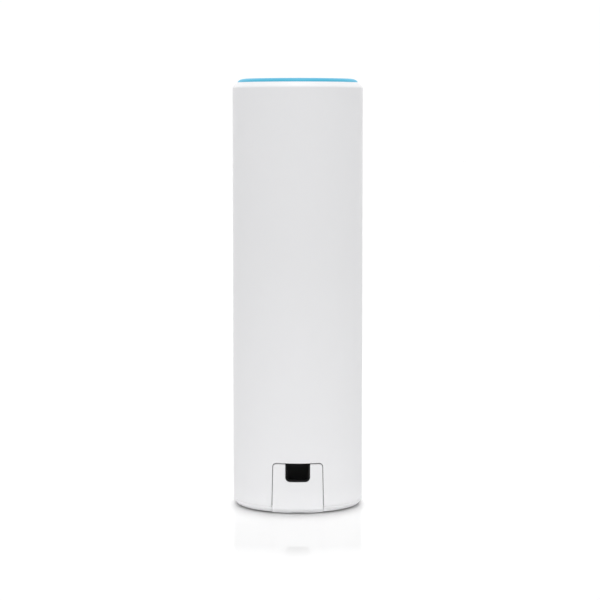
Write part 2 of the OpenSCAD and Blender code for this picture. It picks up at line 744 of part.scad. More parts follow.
module top_cap() color([0.93, 0.93, 0.94]) {
    under = shoulder_z + touch;
    rotate_extrude() polygon(concat(
        [[0, under], [cap_r, under]],
        [for (i = [0:8]) let (r = cap_r*(1 - i/8)) [r, body_h - (body_h - ring_edge_z())*pow(r/cap_r, 2)]]
    ));
    tube(skirt_in - 1.6, skirt_in - 0.2, ledge_z - 0.9, under + 0.5);
    at_cap_bosses() difference() {
        translate([0, 0, led_board_z1 + touch]) cylinder(r = cap_boss_r, h = under - led_board_z1);
        translate([0, 0, led_board_z1 - 1]) cylinder(r = screw_r + 0.03, h = 4.6);
    }
}

module light_reflector() color([0.97, 0.97, 0.97])
    difference() {
        tube(skirt_in - 1.4, inner_r - 0.65, led_board_z1 + touch, led_board_z1 + reflector_h);
        at_leds() block(-1.5, 1.5, -1.4, 1.4, led_board_z1 - 1, led_board_z1 + 3);
    }

module at_leds()
    for (i = [0:led_count - 1]) rotate([0, 0, i*360/led_count]) translate([led_r, 0, 0]) children();

module ring_leds() color([0.95, 0.92, 0.7])
    at_leds() block(-0.8, 0.8, -1, 1, led_board_z1 + touch, led_board_z1 + 0.95);

module led_board() color([0.95, 0.95, 0.95])
    difference() {
        translate([0, 0, led_board_z0 + touch]) cylinder(r = inner_r - 0.7, h = board_t - touch);
        at_cap_bosses() translate([0, 0, led_board_z0 - 1]) cylinder(r = screw_r + 0.1, h = 4);
    }

module cap_screws() color([0.75, 0.76, 0.78])
    at_cap_bosses() translate([0, 0, deck_z0]) screw(deck_t + board_t + 3.2);

module flex_sockets() color([0.9, 0.89, 0.84]) {
    block(-4, 4, -9.6, -6.6, led_board_z0 - 1.2 + touch, led_board_z0);
    block(-4, 4, main_y0 - 1.4, main_y0, main_z1 - 5, main_z1 - 2);
}

// Flat cable from the lamp board, through the deck, to the main board
module led_flex_cable() color([0.75, 0.6, 0.35]) {
    t = 0.25;
    top = [-6.5, led_board_z0 - 0.6];
    foot = [main_y0 - 1.5, main_z1 - 3.5];
    line = concat(
        [top], arc([top[0] + 1, top[1] - 1], 1.6, 1.6, 90, 0),
        [[top[0] + 2.6, (top[1] + foot[1])/2 + 3], [foot[0] - 1.2, foot[1] + 4]],
        [[foot[0] - 0.2, foot[1]]]
    );
    back = [for (i = [len(line) - 1:-1:0]) line[i] - [i < 2 ? 0 : t, i < 2 ? t : i > 7 ? 0 : t/2]];
    translate([-3, 0, 0]) rotate([90, 0, 90]) linear_extrude(6) polygon(concat(line, back));
}

// ---- The nodes ----

outer_shell();
light_ring();
top_cap();
light_reflector();
led_board();
ring_leds();
cap_screws();
led_flex_cable();
flex_sockets();
inner_frame();
antenna_carrier();
for (i = [0:3]) strip_antenna(high_at[i], high_z, 24, 3.5, 8);
for (i = [0:1]) strip_antenna(low_at[i], low_z, 34, 6, 18);
for (i = [0:5]) antenna_lead(leads[i]);
antenna_plugs();
antenna_sockets();
main_board();
processor_chip();
radio_chips();
memory_chips();
flash_chip();
amplifier_chips();
thermal_pads();
heat_sink();
heat_sink_screws();
board_screws();
shield_can(can_z[0]);  // shield_can_lower
shield_can(can_z[1]);  // shield_can_upper
port_board();
board_header();
jack_shield();
jack_insert();
jack_contacts();
network_transformer();
power_transformer();
filter_capacitors();
power_inductors();
frame_screws();
reset_switch();
chassis();
bulkhead_seal();
base();
base_screws();
foot_ring();
port_cover();
cable_grommet();
reset_button();
reset_stem();
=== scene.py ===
"""The looks of a free-standing mesh wifi node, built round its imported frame.

Every length is in metres. +Z is up, the tube's axis is x = y = 0 and the cover faces -Y.
"""

import math

import bmesh
import bpy
from bpy.props import FloatProperty, FloatVectorProperty, IntProperty, PointerProperty
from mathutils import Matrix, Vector
from mathutils.geometry import delaunay_2d_cdt


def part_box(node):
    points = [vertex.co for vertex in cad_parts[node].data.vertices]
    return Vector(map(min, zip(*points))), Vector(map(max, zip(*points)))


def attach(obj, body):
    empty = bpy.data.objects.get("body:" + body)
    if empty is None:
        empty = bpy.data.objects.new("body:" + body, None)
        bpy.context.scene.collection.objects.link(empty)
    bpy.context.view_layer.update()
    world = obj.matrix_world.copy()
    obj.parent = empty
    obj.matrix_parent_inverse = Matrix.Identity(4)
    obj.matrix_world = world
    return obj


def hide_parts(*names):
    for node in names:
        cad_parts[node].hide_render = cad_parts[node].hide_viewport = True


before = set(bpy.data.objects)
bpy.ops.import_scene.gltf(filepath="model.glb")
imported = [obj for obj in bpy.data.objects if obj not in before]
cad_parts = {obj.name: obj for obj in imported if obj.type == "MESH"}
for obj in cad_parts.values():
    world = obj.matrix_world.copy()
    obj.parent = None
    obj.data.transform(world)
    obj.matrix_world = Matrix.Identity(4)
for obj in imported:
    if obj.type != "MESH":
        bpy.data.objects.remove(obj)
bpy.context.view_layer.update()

bl_info = {
    "name": "Mesh Wifi Node",
    "version": (1, 0, 0),
    "blender": (4, 5, 0),
    "location": "View3D > Sidebar > Wifi Node",
    "description": "Builds a white tube-shaped wifi node with a light ring and a cable cover",
    "category": "Add Mesh",
}

MM = 0.001
# Points closer than this are one point
WELD = 2e-6
# Edges that turn by more than this, in degrees, are shaded sharp
SHARP = 28.0
RUBBER_SHARP = 35.0
# The ring and the cap have this many columns more than the shell
MORE_COLUMNS = 32
HOUSING = "housing"
COVER = "cover"

# Sizes that the frame gives
SHELL_LOW, SHELL_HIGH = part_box("outer_shell")
COVER_LOW, COVER_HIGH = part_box("port_cover")
RING_LOW, RING_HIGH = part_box("light_ring")
CAP_LOW, CAP_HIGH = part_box("top_cap")
BASE_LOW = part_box("base")[0]
FOOT_LOW, FOOT_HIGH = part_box("foot_ring")
BODY_R = SHELL_HIGH.x
COVER_TOP = COVER_HIGH.z


# ---- Settings ----

class NodeSizes(bpy.types.PropertyGroup):
    """Sizes of the visible pieces that the frame's boxes don't give"""

    wall: FloatProperty(
        name="Wall", description="Thickness of the shell and of the cover",
        default=2.0*MM, unit="LENGTH", precision=5)
    bevel_w: FloatProperty(
        name="Bevel width", description="Radial width of the bevel round the top",
        default=1.8*MM, unit="LENGTH", precision=5)
    bevel_h: FloatProperty(
        name="Bevel height", description="Height of the bevel round the top",
        default=1.8*MM, unit="LENGTH", precision=5)
    edge_round: FloatProperty(
        name="Edge round", description="Radius of the cover's and the opening's outer edges",
        default=0.22*MM, unit="LENGTH", precision=5)
    cover_gap: FloatProperty(
        name="Cover gap", description="Gap beside the cover",
        default=0.2*MM, unit="LENGTH", precision=5)
    top_gap: FloatProperty(
        name="Top gap", description="Gap over the cover",
        default=0.35*MM, unit="LENGTH", precision=5)
    cover_w: FloatProperty(
        name="Cover width", description="Width of the cover at the table",
        default=18.9*MM, unit="LENGTH", precision=5)
    cover_taper: FloatProperty(
        name="Cover taper", description="How much narrower the cover is at its top",
        default=0.7*MM, unit="LENGTH", precision=5)
    cover_corner: FloatProperty(
        name="Cover corner", description="Radius of the cover's top corners",
        default=1.3*MM, unit="LENGTH", precision=5)
    notch_w: FloatProperty(
        name="Notch width", description="Width of the cable notch",
        default=9.1*MM, unit="LENGTH", precision=5)
    notch_h: FloatProperty(
        name="Notch depth", description="Depth of the cable notch below the cover's top",
        default=6.55*MM, unit="LENGTH", precision=5)
    notch_corner: FloatProperty(
        name="Notch corner", description="Radius of the notch's lower corners",
        default=1.7*MM, unit="LENGTH", precision=5)
    lining: FloatProperty(
        name="Lining", description="Thickness of the rubber lining of the notch",
        default=0.75*MM, unit="LENGTH", precision=5)
    rim_in: FloatProperty(
        name="Rim chamfer", description="How far the rim's chamfer goes in at the bottom",
        default=1.25*MM, unit="LENGTH", precision=5)
    rim_h: FloatProperty(
        name="Rim chamfer height", description="Height of the rim's chamfer",
        default=1.4*MM, unit="LENGTH", precision=5)
    round_steps: IntProperty(
        name="Round steps", description="Columns round the tube", default=160, min=48, max=512)


class NodeFinish(bpy.types.PropertyGroup):
    """Colours of the finishes"""

    shell: FloatVectorProperty(
        name="Shell", description="White of the shell, cover, base and cap",
        subtype="COLOR", size=3, min=0, max=1, default=(0.85, 0.85, 0.862))
    light: FloatVectorProperty(
        name="Light", description="Colour of the light ring",
        subtype="COLOR", size=3, min=0, max=1, default=(0.088, 0.500, 0.722))
    bay: FloatVectorProperty(
        name="Bay", description="Black of the cable bay",
        subtype="COLOR", size=3, min=0, max=1, default=(0.12, 0.12, 0.123))
    # The lining's black is partly the rubber's own and partly painted shade: it is set darker than rubber
    # so the lining looks in shadow inside the notch
    rubber: FloatVectorProperty(
        name="Rubber", description="Black of the notch's lining",
        subtype="COLOR", size=3, min=0, max=1, default=(0.006, 0.006, 0.006))
    floor: FloatVectorProperty(
        name="Floor", description="Colour of the floor",
        subtype="COLOR", size=3, min=0, max=1, default=(0.865, 0.865, 0.865))


# ---- Mesh tools ----

class Skin:
    """Gathers the points and faces of one piece, row by row"""

    def __init__(self):
        self.points = []
        self.faces = []

    def row(self, points):
        start = len(self.points)
        self.points.extend(points)
        return list(range(start, len(self.points)))

    def bridge(self, low, high, closed=False):
        count = len(low) if closed else len(low) - 1
        for i in range(count):
            j = (i + 1) % len(low)
            self.faces.append((low[i], low[j], high[j], high[i]))

    def loft(self, rows, closed=False, ring=False):
        """Joins rows of equal length; closed joins each row's ends, ring the last row to the first"""
        made = [self.row(points) for points in rows]
        for low, high in zip(made, made[1:]):
            self.bridge(low, high, closed)
        if ring:
            self.bridge(made[-1], made[0], closed)
        return made

    def mesh(self, name, sharp=SHARP):
        made = bpy.data.meshes.new(name)
        made.from_pydata(self.points, [], self.faces)
        shape = bmesh.new()
        shape.from_mesh(made)
        bmesh.ops.remove_doubles(shape, verts=shape.verts, dist=WELD)
        bmesh.ops.dissolve_degenerate(shape, dist=WELD, edges=shape.edges)
        bmesh.ops.recalc_face_normals(shape, faces=shape.faces)
        shape.to_mesh(made)
        shape.free()
        smooth(made, sharp)
        return made


def smooth(mesh, sharp):
    """Shades a mesh smooth, apart from the edges that turn by more than sharp degrees"""
    shape = bmesh.new()
    shape.from_mesh(mesh)
    limit = math.radians(sharp)
    for face in shape.faces:
        face.smooth = True
    for edge in shape.edges:
        edge.smooth = len(edge.link_faces) != 2 or edge.calc_face_angle(0) < limit
    shape.to_mesh(mesh)
    shape.free()


def place(name, mesh, material, body, nodes):
    """Puts a finished mesh in the scene, on its body, in place of its nodes"""
    piece = bpy.data.objects.new(name, mesh)
    bpy.context.scene.collection.objects.link(piece)
    mesh.materials.clear()
    mesh.materials.append(material)
    weigh = piece.modifiers.new("even_shading", "WEIGHTED_NORMAL")
    weigh.keep_sharp = True
    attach(piece, body)
    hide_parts(*nodes)
    return piece


def rounded(corners, steps=5):
    """Points round an outline; each corner is (r, z, radius of its round)"""
    points = []
    for i, (r, z, radius) in enumerate(corners):
        here = Vector((r, z))
        before = Vector(corners[i - 1][:2]) - here
        after = Vector(corners[(i + 1) % len(corners)][:2]) - here
        if radius <= 0 or before.length == 0 or after.length == 0:
            points.append(here)
            continue
        before.normalize()
        after.normalize()
        half = before.angle(after)/2
        reach = radius/math.tan(half)
        middle = (before + after).normalized()
        centre = here + middle*radius/math.sin(half)
        start = here + before*reach - centre
        turn = start.angle_signed(here + after*reach - centre)
        for k in range(steps + 1):
            a = -turn*k/steps
            points.append(centre + Vector((start.x*math.cos(a) - start.y*math.sin(a),
                                           start.x*math.sin(a) + start.y*math.cos(a))))
    return points


def arc(cx, cz, rx, rz, start, end, steps):
    """Points on part of an ellipse, with its angles in degrees"""
    angles = [math.radians(start + (end - start)*k/steps) for k in range(steps + 1)]
    return [Vector((cx + rx*math.cos(a), cz + rz*math.sin(a))) for a in angles]


def turned(name, outline, columns, sharp=SHARP, ring=True):
    """The mesh of an outline turned about the z axis; ring joins the outline's ends"""
    skin = Skin()
    angles = [2*math.pi*k/columns for k in range(columns)]
    skin.loft([[round_point(a, p.x, p.y) for a in angles] for p in outline], closed=True, ring=ring)
    return skin.mesh(name, sharp)


def round_point(angle, radius, z):
    """A point at an angle from -Y, turning towards +X"""
    return Vector((radius*math.sin(angle), -radius*math.cos(angle), z))


def front_point(x, z, depth):
    """A point on the cover's side, at a depth under the tube's surface"""
    radius = BODY_R - depth
    return Vector((x, -math.sqrt(radius*radius - x*x), z))


def quarter(radius, steps=5):
    """A rounded edge, as pairs: how far in from the edge, and how deep under the surface"""
    angles = [math.pi/2*k/steps for k in range(steps + 1)]
    return [(radius*(1 - math.sin(a)), radius*(1 - math.cos(a))) for a in angles]


# ---- Material tools ----

def new_material(name):
    material = bpy.data.materials.new(name)
    material.use_nodes = True
    tree = material.node_tree
    return material, tree, tree.nodes["Principled BSDF"]


def node(tree, kind, **values):
    """Adds a node and sets its inputs, by their names, or its own settings"""
    made = tree.nodes.new(kind)
    for key, value in values.items():
        label = key.replace("_", " ").title()
        if label in made.inputs:
            made.inputs[label].default_value = value
        else:
            setattr(made, key, value)
    return made


def place_noise(tree, scale, detail=3.0, roughness=0.5):
    """Noise in the piece's own coordinates; the scale is in cells a metre"""
    spot = tree.nodes.get("spot") or node(tree, "ShaderNodeTexCoord", name="spot")
    noise = node(tree, "ShaderNodeTexNoise", scale=scale, detail=detail, roughness=roughness)
    tree.links.new(spot.outputs["Object"], noise.inputs["Vector"])
    return noise


# Noise keeps mostly between these two values
NOISE_LOW, NOISE_HIGH = 0.3, 0.7


def spread(tree, source, low, high):
    """Maps noise to a range"""
    ramp = node(tree, "ShaderNodeMapRange")
    ramp.inputs["From Min"].default_value = NOISE_LOW
    ramp.inputs["From Max"].default_value = NOISE_HIGH
    ramp.inputs["To Min"].default_value = low
    ramp.inputs["To Max"].default_value = high
    tree.links.new(source, ramp.inputs["Value"])
    return ramp.outputs["Result"]


def tint(tree, source, first, second):
    """Mixes two colours by a value"""
    mix = node(tree, "ShaderNodeMix", data_type="RGBA")
    mix.inputs[6].default_value = (*first, 1)
    mix.inputs[7].default_value = (*second, 1)
    tree.links.new(source, mix.inputs[0])
    return mix.outputs[2]


def grain(tree, shader, height, distance, strength):
    """Bumps a shader's normal by a height"""
    bump = node(tree, "ShaderNodeBump", distance=distance, strength=strength)
    tree.links.new(height, bump.inputs["Height"])
    tree.links.new(bump.outputs["Normal"], shader.inputs["Normal"])
    return bump


def moulded(name, colour, gloss=0.4, spread_of_gloss=0.06, texture=3200.0, depth=0.012*MM, strength=0.25,
            variation=0.015, shine=0.5):
    """Moulded plastic or rubber with a fine spark-eroded texture"""
    material, tree, shader = new_material(name)
    shader.inputs["Specular IOR Level"].default_value = shine
    fine = place_noise(tree, texture, 2.0)
    cloudy = place_noise(tree, 70.0, 3.0)
    paler = tuple(min(1.0, c*(1 + variation)) for c in colour)
    darker = tuple(c*(1 - variation) for c in colour)
    tree.links.new(tint(tree, cloudy.outputs["Fac"], darker, paler), shader.inputs["Base Color"])
    rough = spread(tree, cloudy.outputs["Fac"], gloss - spread_of_gloss, gloss + spread_of_gloss)
    tree.links.new(rough, shader.inputs["Roughness"])
    grain(tree, shader, fine.outputs["Fac"], depth, strength)
    return material


def metal(name, colour, gloss=0.3, along=(1.0, 1.0, 1.0), texture=1500.0, depth=0.004*MM):
    """Bare metal; along stretches its marks"""
    material, tree, shader = new_material(name)
    spot = node(tree, "ShaderNodeTexCoord")
    stretch = node(tree, "ShaderNodeMapping")
    stretch.inputs["Scale"].default_value = along
    marks = node(tree, "ShaderNodeTexNoise", scale=texture, detail=4.0)
    tree.links.new(spot.outputs["Object"], stretch.inputs["Vector"])
    tree.links.new(stretch.outputs["Vector"], marks.inputs["Vector"])
    darker = tuple(c*0.86 for c in colour)
    tree.links.new(tint(tree, marks.outputs["Fac"], darker, colour), shader.inputs["Base Color"])
    tree.links.new(spread(tree, marks.outputs["Fac"], gloss*0.7, gloss*1.3), shader.inputs["Roughness"])
    shader.inputs["Metallic"].default_value = 1.0
    grain(tree, shader, marks.outputs["Fac"], depth, 0.3)
    return material


def finish_node(names, material):
    """Gives CAD nodes a material"""
    for name in names:
        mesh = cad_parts[name].data
        for i in range(len(mesh.materials)):
            mesh.materials[i] = material


def material_of(name, make):
    """The material of that name, made if it isn't there"""
    return bpy.data.materials.get(name) or make()


def shell_white():
    """The satin white of the shell, cover and base"""
    white = tuple(bpy.context.scene.node_finish.shell)
    return material_of("satin_white", lambda: moulded(
        "satin_white", white, gloss=0.5, spread_of_gloss=0.05, texture=3400.0, depth=0.010*MM,
        strength=0.22, variation=0.008, shine=0.22))


def cap_white():
    """The cap's white, a touch greyer and coarser than the shell's"""
    white = tuple(c*0.88 for c in bpy.context.scene.node_finish.shell)
    return material_of("cap_white", lambda: moulded(
        "cap_white", white, gloss=0.55, spread_of_gloss=0.08, texture=1500.0, depth=0.03*MM,
        strength=0.4, variation=0.02, shine=0.22))


# ---- The shell ----

class WIFINODE_OT_shell(bpy.types.Operator):
    """Builds the outer shell, with its bevelled top and the opening for the cover"""

    bl_idname = "wifinode.shell"
    bl_label = "Outer shell"

    SIDE_ROWS = 14
    CORNER_STEPS = 3
    TOP_STEPS = 9
    # Shares of the way from the opening's edge out to the rectangle round it
    BAND = (0.03, 0.10, 0.25, 0.5, 0.75, 1.0)
    BAND_ANGLE = math.radians(34)
    BAND_TOP = 25*MM
    FOOT_ROUND = 0.08*MM
    # Columns that the band beside the opening takes out of the full round
    FRONT_COLUMNS = 32
    LEDGE_DROP = 1.9*MM
    LEDGE_W = 1.85*MM
    LEDGE_T = 1.6*MM
    LEDGE_SLOPE = 0.4*MM

    def side_levels(self, size):
        """Heights up the opening's straight side; the lowest rows carry the round of the shell's foot"""
        low, high = SHELL_LOW.z, COVER_TOP - size.cover_corner + size.top_gap - size.cover_gap
        levels = [low, low + self.FOOT_ROUND/2, low + self.FOOT_ROUND]
        count = self.SIDE_ROWS - 2
        return levels + [levels[-1] + (high - levels[-1])*k/count for k in range(1, count + 1)]

    def opening(self, size, grow):
        """The +x half of the opening's outline, from its foot to the middle of its top"""
        corner = size.cover_corner
        high = self.side_levels(size)[-1]
        half_low = size.cover_w/2
        half_top = half_low - size.cover_taper/2
        reach = size.cover_gap + grow
        points = []
        for z in self.side_levels(size):
            points.append(Vector((half_low + (half_top - half_low)*z/high + reach, z)))
        outer = corner + reach
        points += arc(half_top - corner, high, outer, outer, 0, 90, 2*self.CORNER_STEPS)[1:]
        edge = points[-1]
        points += [Vector((edge.x*(1 - k/self.TOP_STEPS), edge.y)) for k in range(1, self.TOP_STEPS + 1)]
        return points

    def boundary(self, size, outer):
        """The +x half of the rectangle that the opening's rows run out to, on the outer or inner face"""
        radius = BODY_R if outer else BODY_R - size.wall
        levels = self.side_levels(size)[:3]
        count = self.SIDE_ROWS + self.CORNER_STEPS - 2
        levels += [levels[-1] + (self.BAND_TOP - levels[-1])*k/count for k in range(1, count + 1)]
        points = []
        for z in levels:
            depth = self.foot_depth(z) if outer else 0
            points.append(Vector(((radius - depth)*math.sin(self.BAND_ANGLE), z)))
        steps = self.CORNER_STEPS + self.TOP_STEPS
        for k in range(1, steps + 1):
            points.append(Vector((radius*math.sin(self.BAND_ANGLE*(1 - k/steps)), self.BAND_TOP)))
        return points

    def both(self, half):
        """A half outline with its mirror image"""
        return half + [Vector((-p.x, p.y)) for p in reversed(half[:-1])]

    def foot_depth(self, z):
        """How far the round of the shell's foot goes in"""
        up = min(1.0, max(0.0, (z - SHELL_LOW.z)/self.FOOT_ROUND))
        return self.FOOT_ROUND*(1 - math.sqrt(1 - (1 - up)**2))

    def face_rows(self, size, outer):
        """Rows round the opening, from its wall out to the rectangle, on the outer or inner face"""
        rows = []
        edge = quarter(size.edge_round)
        for grow, sink in reversed(edge):
            points = self.both(self.opening(size, grow))
            rows.append([self.on_face(size, p, sink, outer) for p in points])
        inner_edge = self.both(self.opening(size, size.edge_round))
        far = self.both(self.boundary(size, outer))
        for t in self.BAND:
            rows.append([self.on_face(size, a.lerp(b, t), 0, outer) for a, b in zip(inner_edge, far)])
        return rows

    def on_face(self, size, p, sink, outer):
        """The point over p on the outer or inner face, at a depth under that face"""
        if outer:
            return front_point(p.x, p.y, max(sink, self.foot_depth(p.y)))
        return front_point(p.x, p.y, size.wall - sink)

    def top_outline(self, size):
        """The section above the opening, up the outside, over the bevel and down the inside"""
        lip = SHELL_HIGH.z
        seat = BODY_R - size.bevel_w
        inner = BODY_R - size.wall
        ledge_z = lip - self.LEDGE_DROP
        ledge_r = seat - self.LEDGE_W
        under = ledge_z - self.LEDGE_T
        bevel_z = lip - size.bevel_h
        corners = [
            (BODY_R, self.BAND_TOP, 0), (BODY_R, bevel_z, 1.2*MM), (seat + 0.2*MM, lip, 0.12*MM),
            (seat, lip, 0.06*MM), (seat, ledge_z, 0.1*MM), (ledge_r, ledge_z, 0.15*MM),
            (ledge_r, under, 0.15*MM), (inner - self.LEDGE_SLOPE, under, 0),
            (inner, under - self.LEDGE_SLOPE, 0), (inner, self.BAND_TOP, 0),
        ]
        outline = rounded(corners)
        rows = [self.BAND_TOP + (bevel_z - self.BAND_TOP)*t for t in (0.25, 0.5, 0.75, 0.97)]
        return outline[:1] + [Vector((BODY_R, z)) for z in rows] + outline[1:]

    def execute(self, context):
        size = context.scene.node_sizes
        skin = Skin()
        outside = skin.loft(self.face_rows(size, True))
        inside = skin.loft(self.face_rows(size, False))
        skin.bridge(outside[0], inside[0])
        # The shell's foot beside the opening
        for end in (0, -1):
            skin.bridge([row[end] for row in outside], [row[end] for row in inside])
        # The rest of the way round, beside the opening
        columns = size.round_steps - self.FRONT_COLUMNS
        start, turn = self.BAND_ANGLE, 2*math.pi - 2*self.BAND_ANGLE
        angles = [start + turn*k/columns for k in range(columns + 1)]
        levels = [p.y for p in self.boundary(size, True)[:self.SIDE_ROWS + self.CORNER_STEPS + 1]]
        outer_rows = [[round_point(a, BODY_R - self.foot_depth(z), z) for a in angles] for z in levels]
        inner_rows = [[round_point(a, BODY_R - size.wall, z) for a in angles] for z in levels]
        skin.bridge(skin.loft(outer_rows)[0], skin.loft(inner_rows)[0])
        # Above the opening, all the way round
        steps = self.CORNER_STEPS + self.TOP_STEPS
        front = [self.BAND_ANGLE*(k/steps - 1) for k in range(2*steps)]
        ring = front + angles[:-1]
        skin.loft([[round_point(a, p.x, p.y) for a in ring] for p in self.top_outline(size)], closed=True)
        mesh = skin.mesh("shell_tube")
        place("shell_tube", mesh, shell_white(), HOUSING, ["outer_shell"])
        return {"FINISHED"}


# ---- The cover and its lining ----

# How softly the chamfer of the cover's rim starts
CREASE_SOFT = 0.07*MM


def chamfer_depth(size, z):
    """How deep the rim's chamfer lies under the tube's surface, with its crease softened"""
    top = BASE_LOW.z + size.rim_h
    slope = size.rim_in/size.rim_h
    # Past 40 the curve is a straight line, and the exponent would grow too large
    below = min(40.0, (top - z)/CREASE_SOFT)
    return min(size.rim_in, slope*CREASE_SOFT*math.log1p(math.exp(below)))


class WIFINODE_OT_port_cover(bpy.types.Operator):
    """Builds the pull-off cover, with its cable notch, foot, tongue and two arms"""

    bl_idname = "wifinode.port_cover"
    bl_label = "Port cover"

    CORNER_STEPS = 6
    EDGE_COLUMNS = 14
    SIDE_ROWS = 18
    LIP_STEPS = 4
    NOTCH_ROWS = 6
    LIP_ROUND = 0.34*MM
    INNER_ROUND = 0.12*MM
    GRID = 0.75*MM
    BLOCK_SHARP = 40
    PULL_HALF = 3.1*MM
    PULL_RISE = 0.42*MM
    PULL_DEPTH = 1.95*MM
    FOOT_STEPS = 40
    FOOT_T = 1.8*MM
    FOOT_SINK = 1.35*MM
    TONGUE_HALF = 4.5*MM
    TONGUE_LONG = 3.0*MM
    ARM_LONG = 6.5*MM
    ARM_T = 1.1*MM
    # How far the arms stand in from the cover's sides
    ARM_IN = 0.65*MM
    ARM_LOW, ARM_HIGH = 7.0*MM, 11.0*MM
    BUMP = 0.35*MM
    # Rows of the panel's sheet near the crease of its chamfer, in millimetres from it
    CREASE_ROWS = (-0.35, -0.15, 0.0, 0.15, 0.35)
    # How far the sheet's inner points keep from its outline, and near the crease
    CLEAR, CREASE_CLEAR = 0.3*MM, 0.16*MM
    CREASE_REACH = 0.4*MM

    def pull(self, x):
        """How far the cover's foot rises over its middle, for a fingernail"""
        if abs(x) > self.PULL_HALF:
            return 0.0
        return self.PULL_RISE*(0.5 + 0.5*math.cos(math.pi*x/self.PULL_HALF))**0.6

    def outline(self, size, inset):
        """The cover's outline drawn in by inset, from the middle of its foot all the way round"""
        low, high = COVER_LOW.z, COVER_TOP - size.cover_corner
        half_low, half_top = size.cover_w/2, size.cover_w/2 - size.cover_taper/2
        rim = BASE_LOW.z + size.rim_h

        def side(z):
            return half_low + (half_top - half_low)*z/high - inset

        points = []
        foot = side(low + inset)
        for k in range(self.EDGE_COLUMNS + 1):
            x = foot*k/self.EDGE_COLUMNS
            points.append(Vector((x, low + inset + self.pull(x))))
        levels = [low + 0.5*MM, low + 1.0*MM] + [rim + d*MM for d in self.CREASE_ROWS]
        rows = self.SIDE_ROWS
        levels += [levels[-1] + (high - levels[-1])*k/rows for k in range(1, rows + 1)]
        points += [Vector((side(z), z)) for z in levels]
        corner = size.cover_corner
        points += arc(half_top - corner, high, corner - inset, corner - inset, 0, 90, self.CORNER_STEPS)[1:]
        lip = self.LIP_ROUND
        notch = size.notch_w/2
        start, end = half_top - corner, notch + lip
        steps = self.LIP_STEPS
        points += [Vector((start + (end - start)*k/steps, COVER_TOP - inset)) for k in range(1, steps)]
        points += arc(end, COVER_TOP - lip, lip - inset, lip - inset, 90, 180, steps)
        floor_z = COVER_TOP - size.notch_h
        turn = size.notch_corner
        start, end = COVER_TOP - lip, floor_z + turn
        rows = self.NOTCH_ROWS
        points += [Vector((notch + inset, start + (end - start)*k/rows)) for k in range(1, rows)]
        points += arc(notch - turn, floor_z + turn, turn + inset, turn + inset, 0, -90, self.CORNER_STEPS)
        edge = notch - turn
        points += [Vector((edge*(1 - k/steps), floor_z - inset)) for k in range(1, steps + 1)]
        return points + [Vector((-p.x, p.y)) for p in reversed(points[1:-1])]

    def inside(self, ring, spot, margin):
        """True where a spot is within the ring and further than margin from its edges"""
        crossings = 0
        for i, a in enumerate(ring):
            b = ring[(i + 1) % len(ring)]
            along = b - a
            t = max(0.0, min(1.0, (spot - a).dot(along)/max(along.length_squared, 1e-18)))
            if (a + along*t - spot).length < margin:
                return False
            if (a.y > spot.y) != (b.y > spot.y) and spot.x < a.x + (spot.y - a.y)/(b.y - a.y)*along.x:
                crossings += 1
        return crossings % 2 == 1

    def fill(self, skin, size, ring, depth):
        """Fills an outline with a sheet that follows the tube"""
        rim = BASE_LOW.z + size.rim_h
        levels = [rim + d*MM for d in (-1.1, -0.6, *self.CREASE_ROWS)]
        level = levels[-1] + self.GRID
        while level < COVER_TOP:
            levels.append(level)
            level += self.GRID
        spots = list(ring)
        count = int(size.cover_w/self.GRID)
        for z in levels:
            margin = self.CREASE_CLEAR if abs(z - rim) < self.CREASE_REACH else self.CLEAR
            for k in range(-count, count + 1):
                spot = Vector((k*self.GRID/2, z))
                if self.inside(ring, spot, margin):
                    spots.append(spot)
        # The triangulation works in millimetres, where its tolerance is fine enough
        scaled = [p/MM for p in spots]
        result = delaunay_2d_cdt(scaled, [], [list(range(len(ring)))], 1, 1e-7)
        made = skin.row([depth(p.x*MM, p.y*MM) for p in result[0]])
        for face in result[2]:
            skin.faces.append(tuple(made[i] for i in face))

    def panel(self, size):
        """The curved plate with its notch, before the foot and the arms join it"""
        skin = Skin()
        rows = []
        for inset, sink in quarter(size.edge_round):
            rows.append([front_point(p.x, p.y, chamfer_depth(size, p.y) + sink)
                         for p in self.outline(size, inset)])
        for inset, sink in reversed(quarter(self.INNER_ROUND, 3)):
            rows.append([front_point(p.x, p.y, size.wall - sink) for p in self.outline(size, inset)])
        skin.loft(rows, closed=True)
        self.fill(skin, size, self.outline(size, size.edge_round),
                  lambda x, z: front_point(x, z, chamfer_depth(size, z)))
        self.fill(skin, size, self.outline(size, self.INNER_ROUND),
                  lambda x, z: front_point(x, z, size.wall))
        return skin.mesh("cover_panel")

    def block(self, name, corners, z0, z1, edge=0.15*MM):
        """A prism over an outline, with its edges rounded"""
        skin = Skin()
        low = skin.row([Vector((x, y, z0)) for x, y in corners])
        high = skin.row([Vector((x, y, z1)) for x, y in corners])
        skin.bridge(low, high, closed=True)
        skin.faces += [tuple(reversed(low)), tuple(high)]
        mesh = skin.mesh(name)
        shape = bmesh.new()
        shape.from_mesh(mesh)
        sharp = [e for e in shape.edges if e.calc_face_angle(0) > math.radians(self.BLOCK_SHARP)]
        bmesh.ops.bevel(shape, geom=sharp, offset=edge, segments=3, affect="EDGES", profile=0.5)
        shape.to_mesh(mesh)
        shape.free()
        return mesh

    def foot_plate(self, size):
        """The flat foot behind the panel, set back behind the pull"""
        low = COVER_LOW.z
        half = size.cover_w/2 - 0.02*MM
        foot_end = COVER_HIGH.y - self.TONGUE_LONG
        spots = [half*(1 - 2*k/self.FOOT_STEPS) for k in range(self.FOOT_STEPS + 1)]
        front = [front_point(x, 0, self.PULL_DEPTH if self.pull(x) > 0 else self.FOOT_SINK) for x in spots]
        foot = [(p.x, p.y) for p in front] + [(-half, foot_end), (half, foot_end)]
        return self.block("foot_plate", foot, low + 0.01*MM, low + self.FOOT_T)

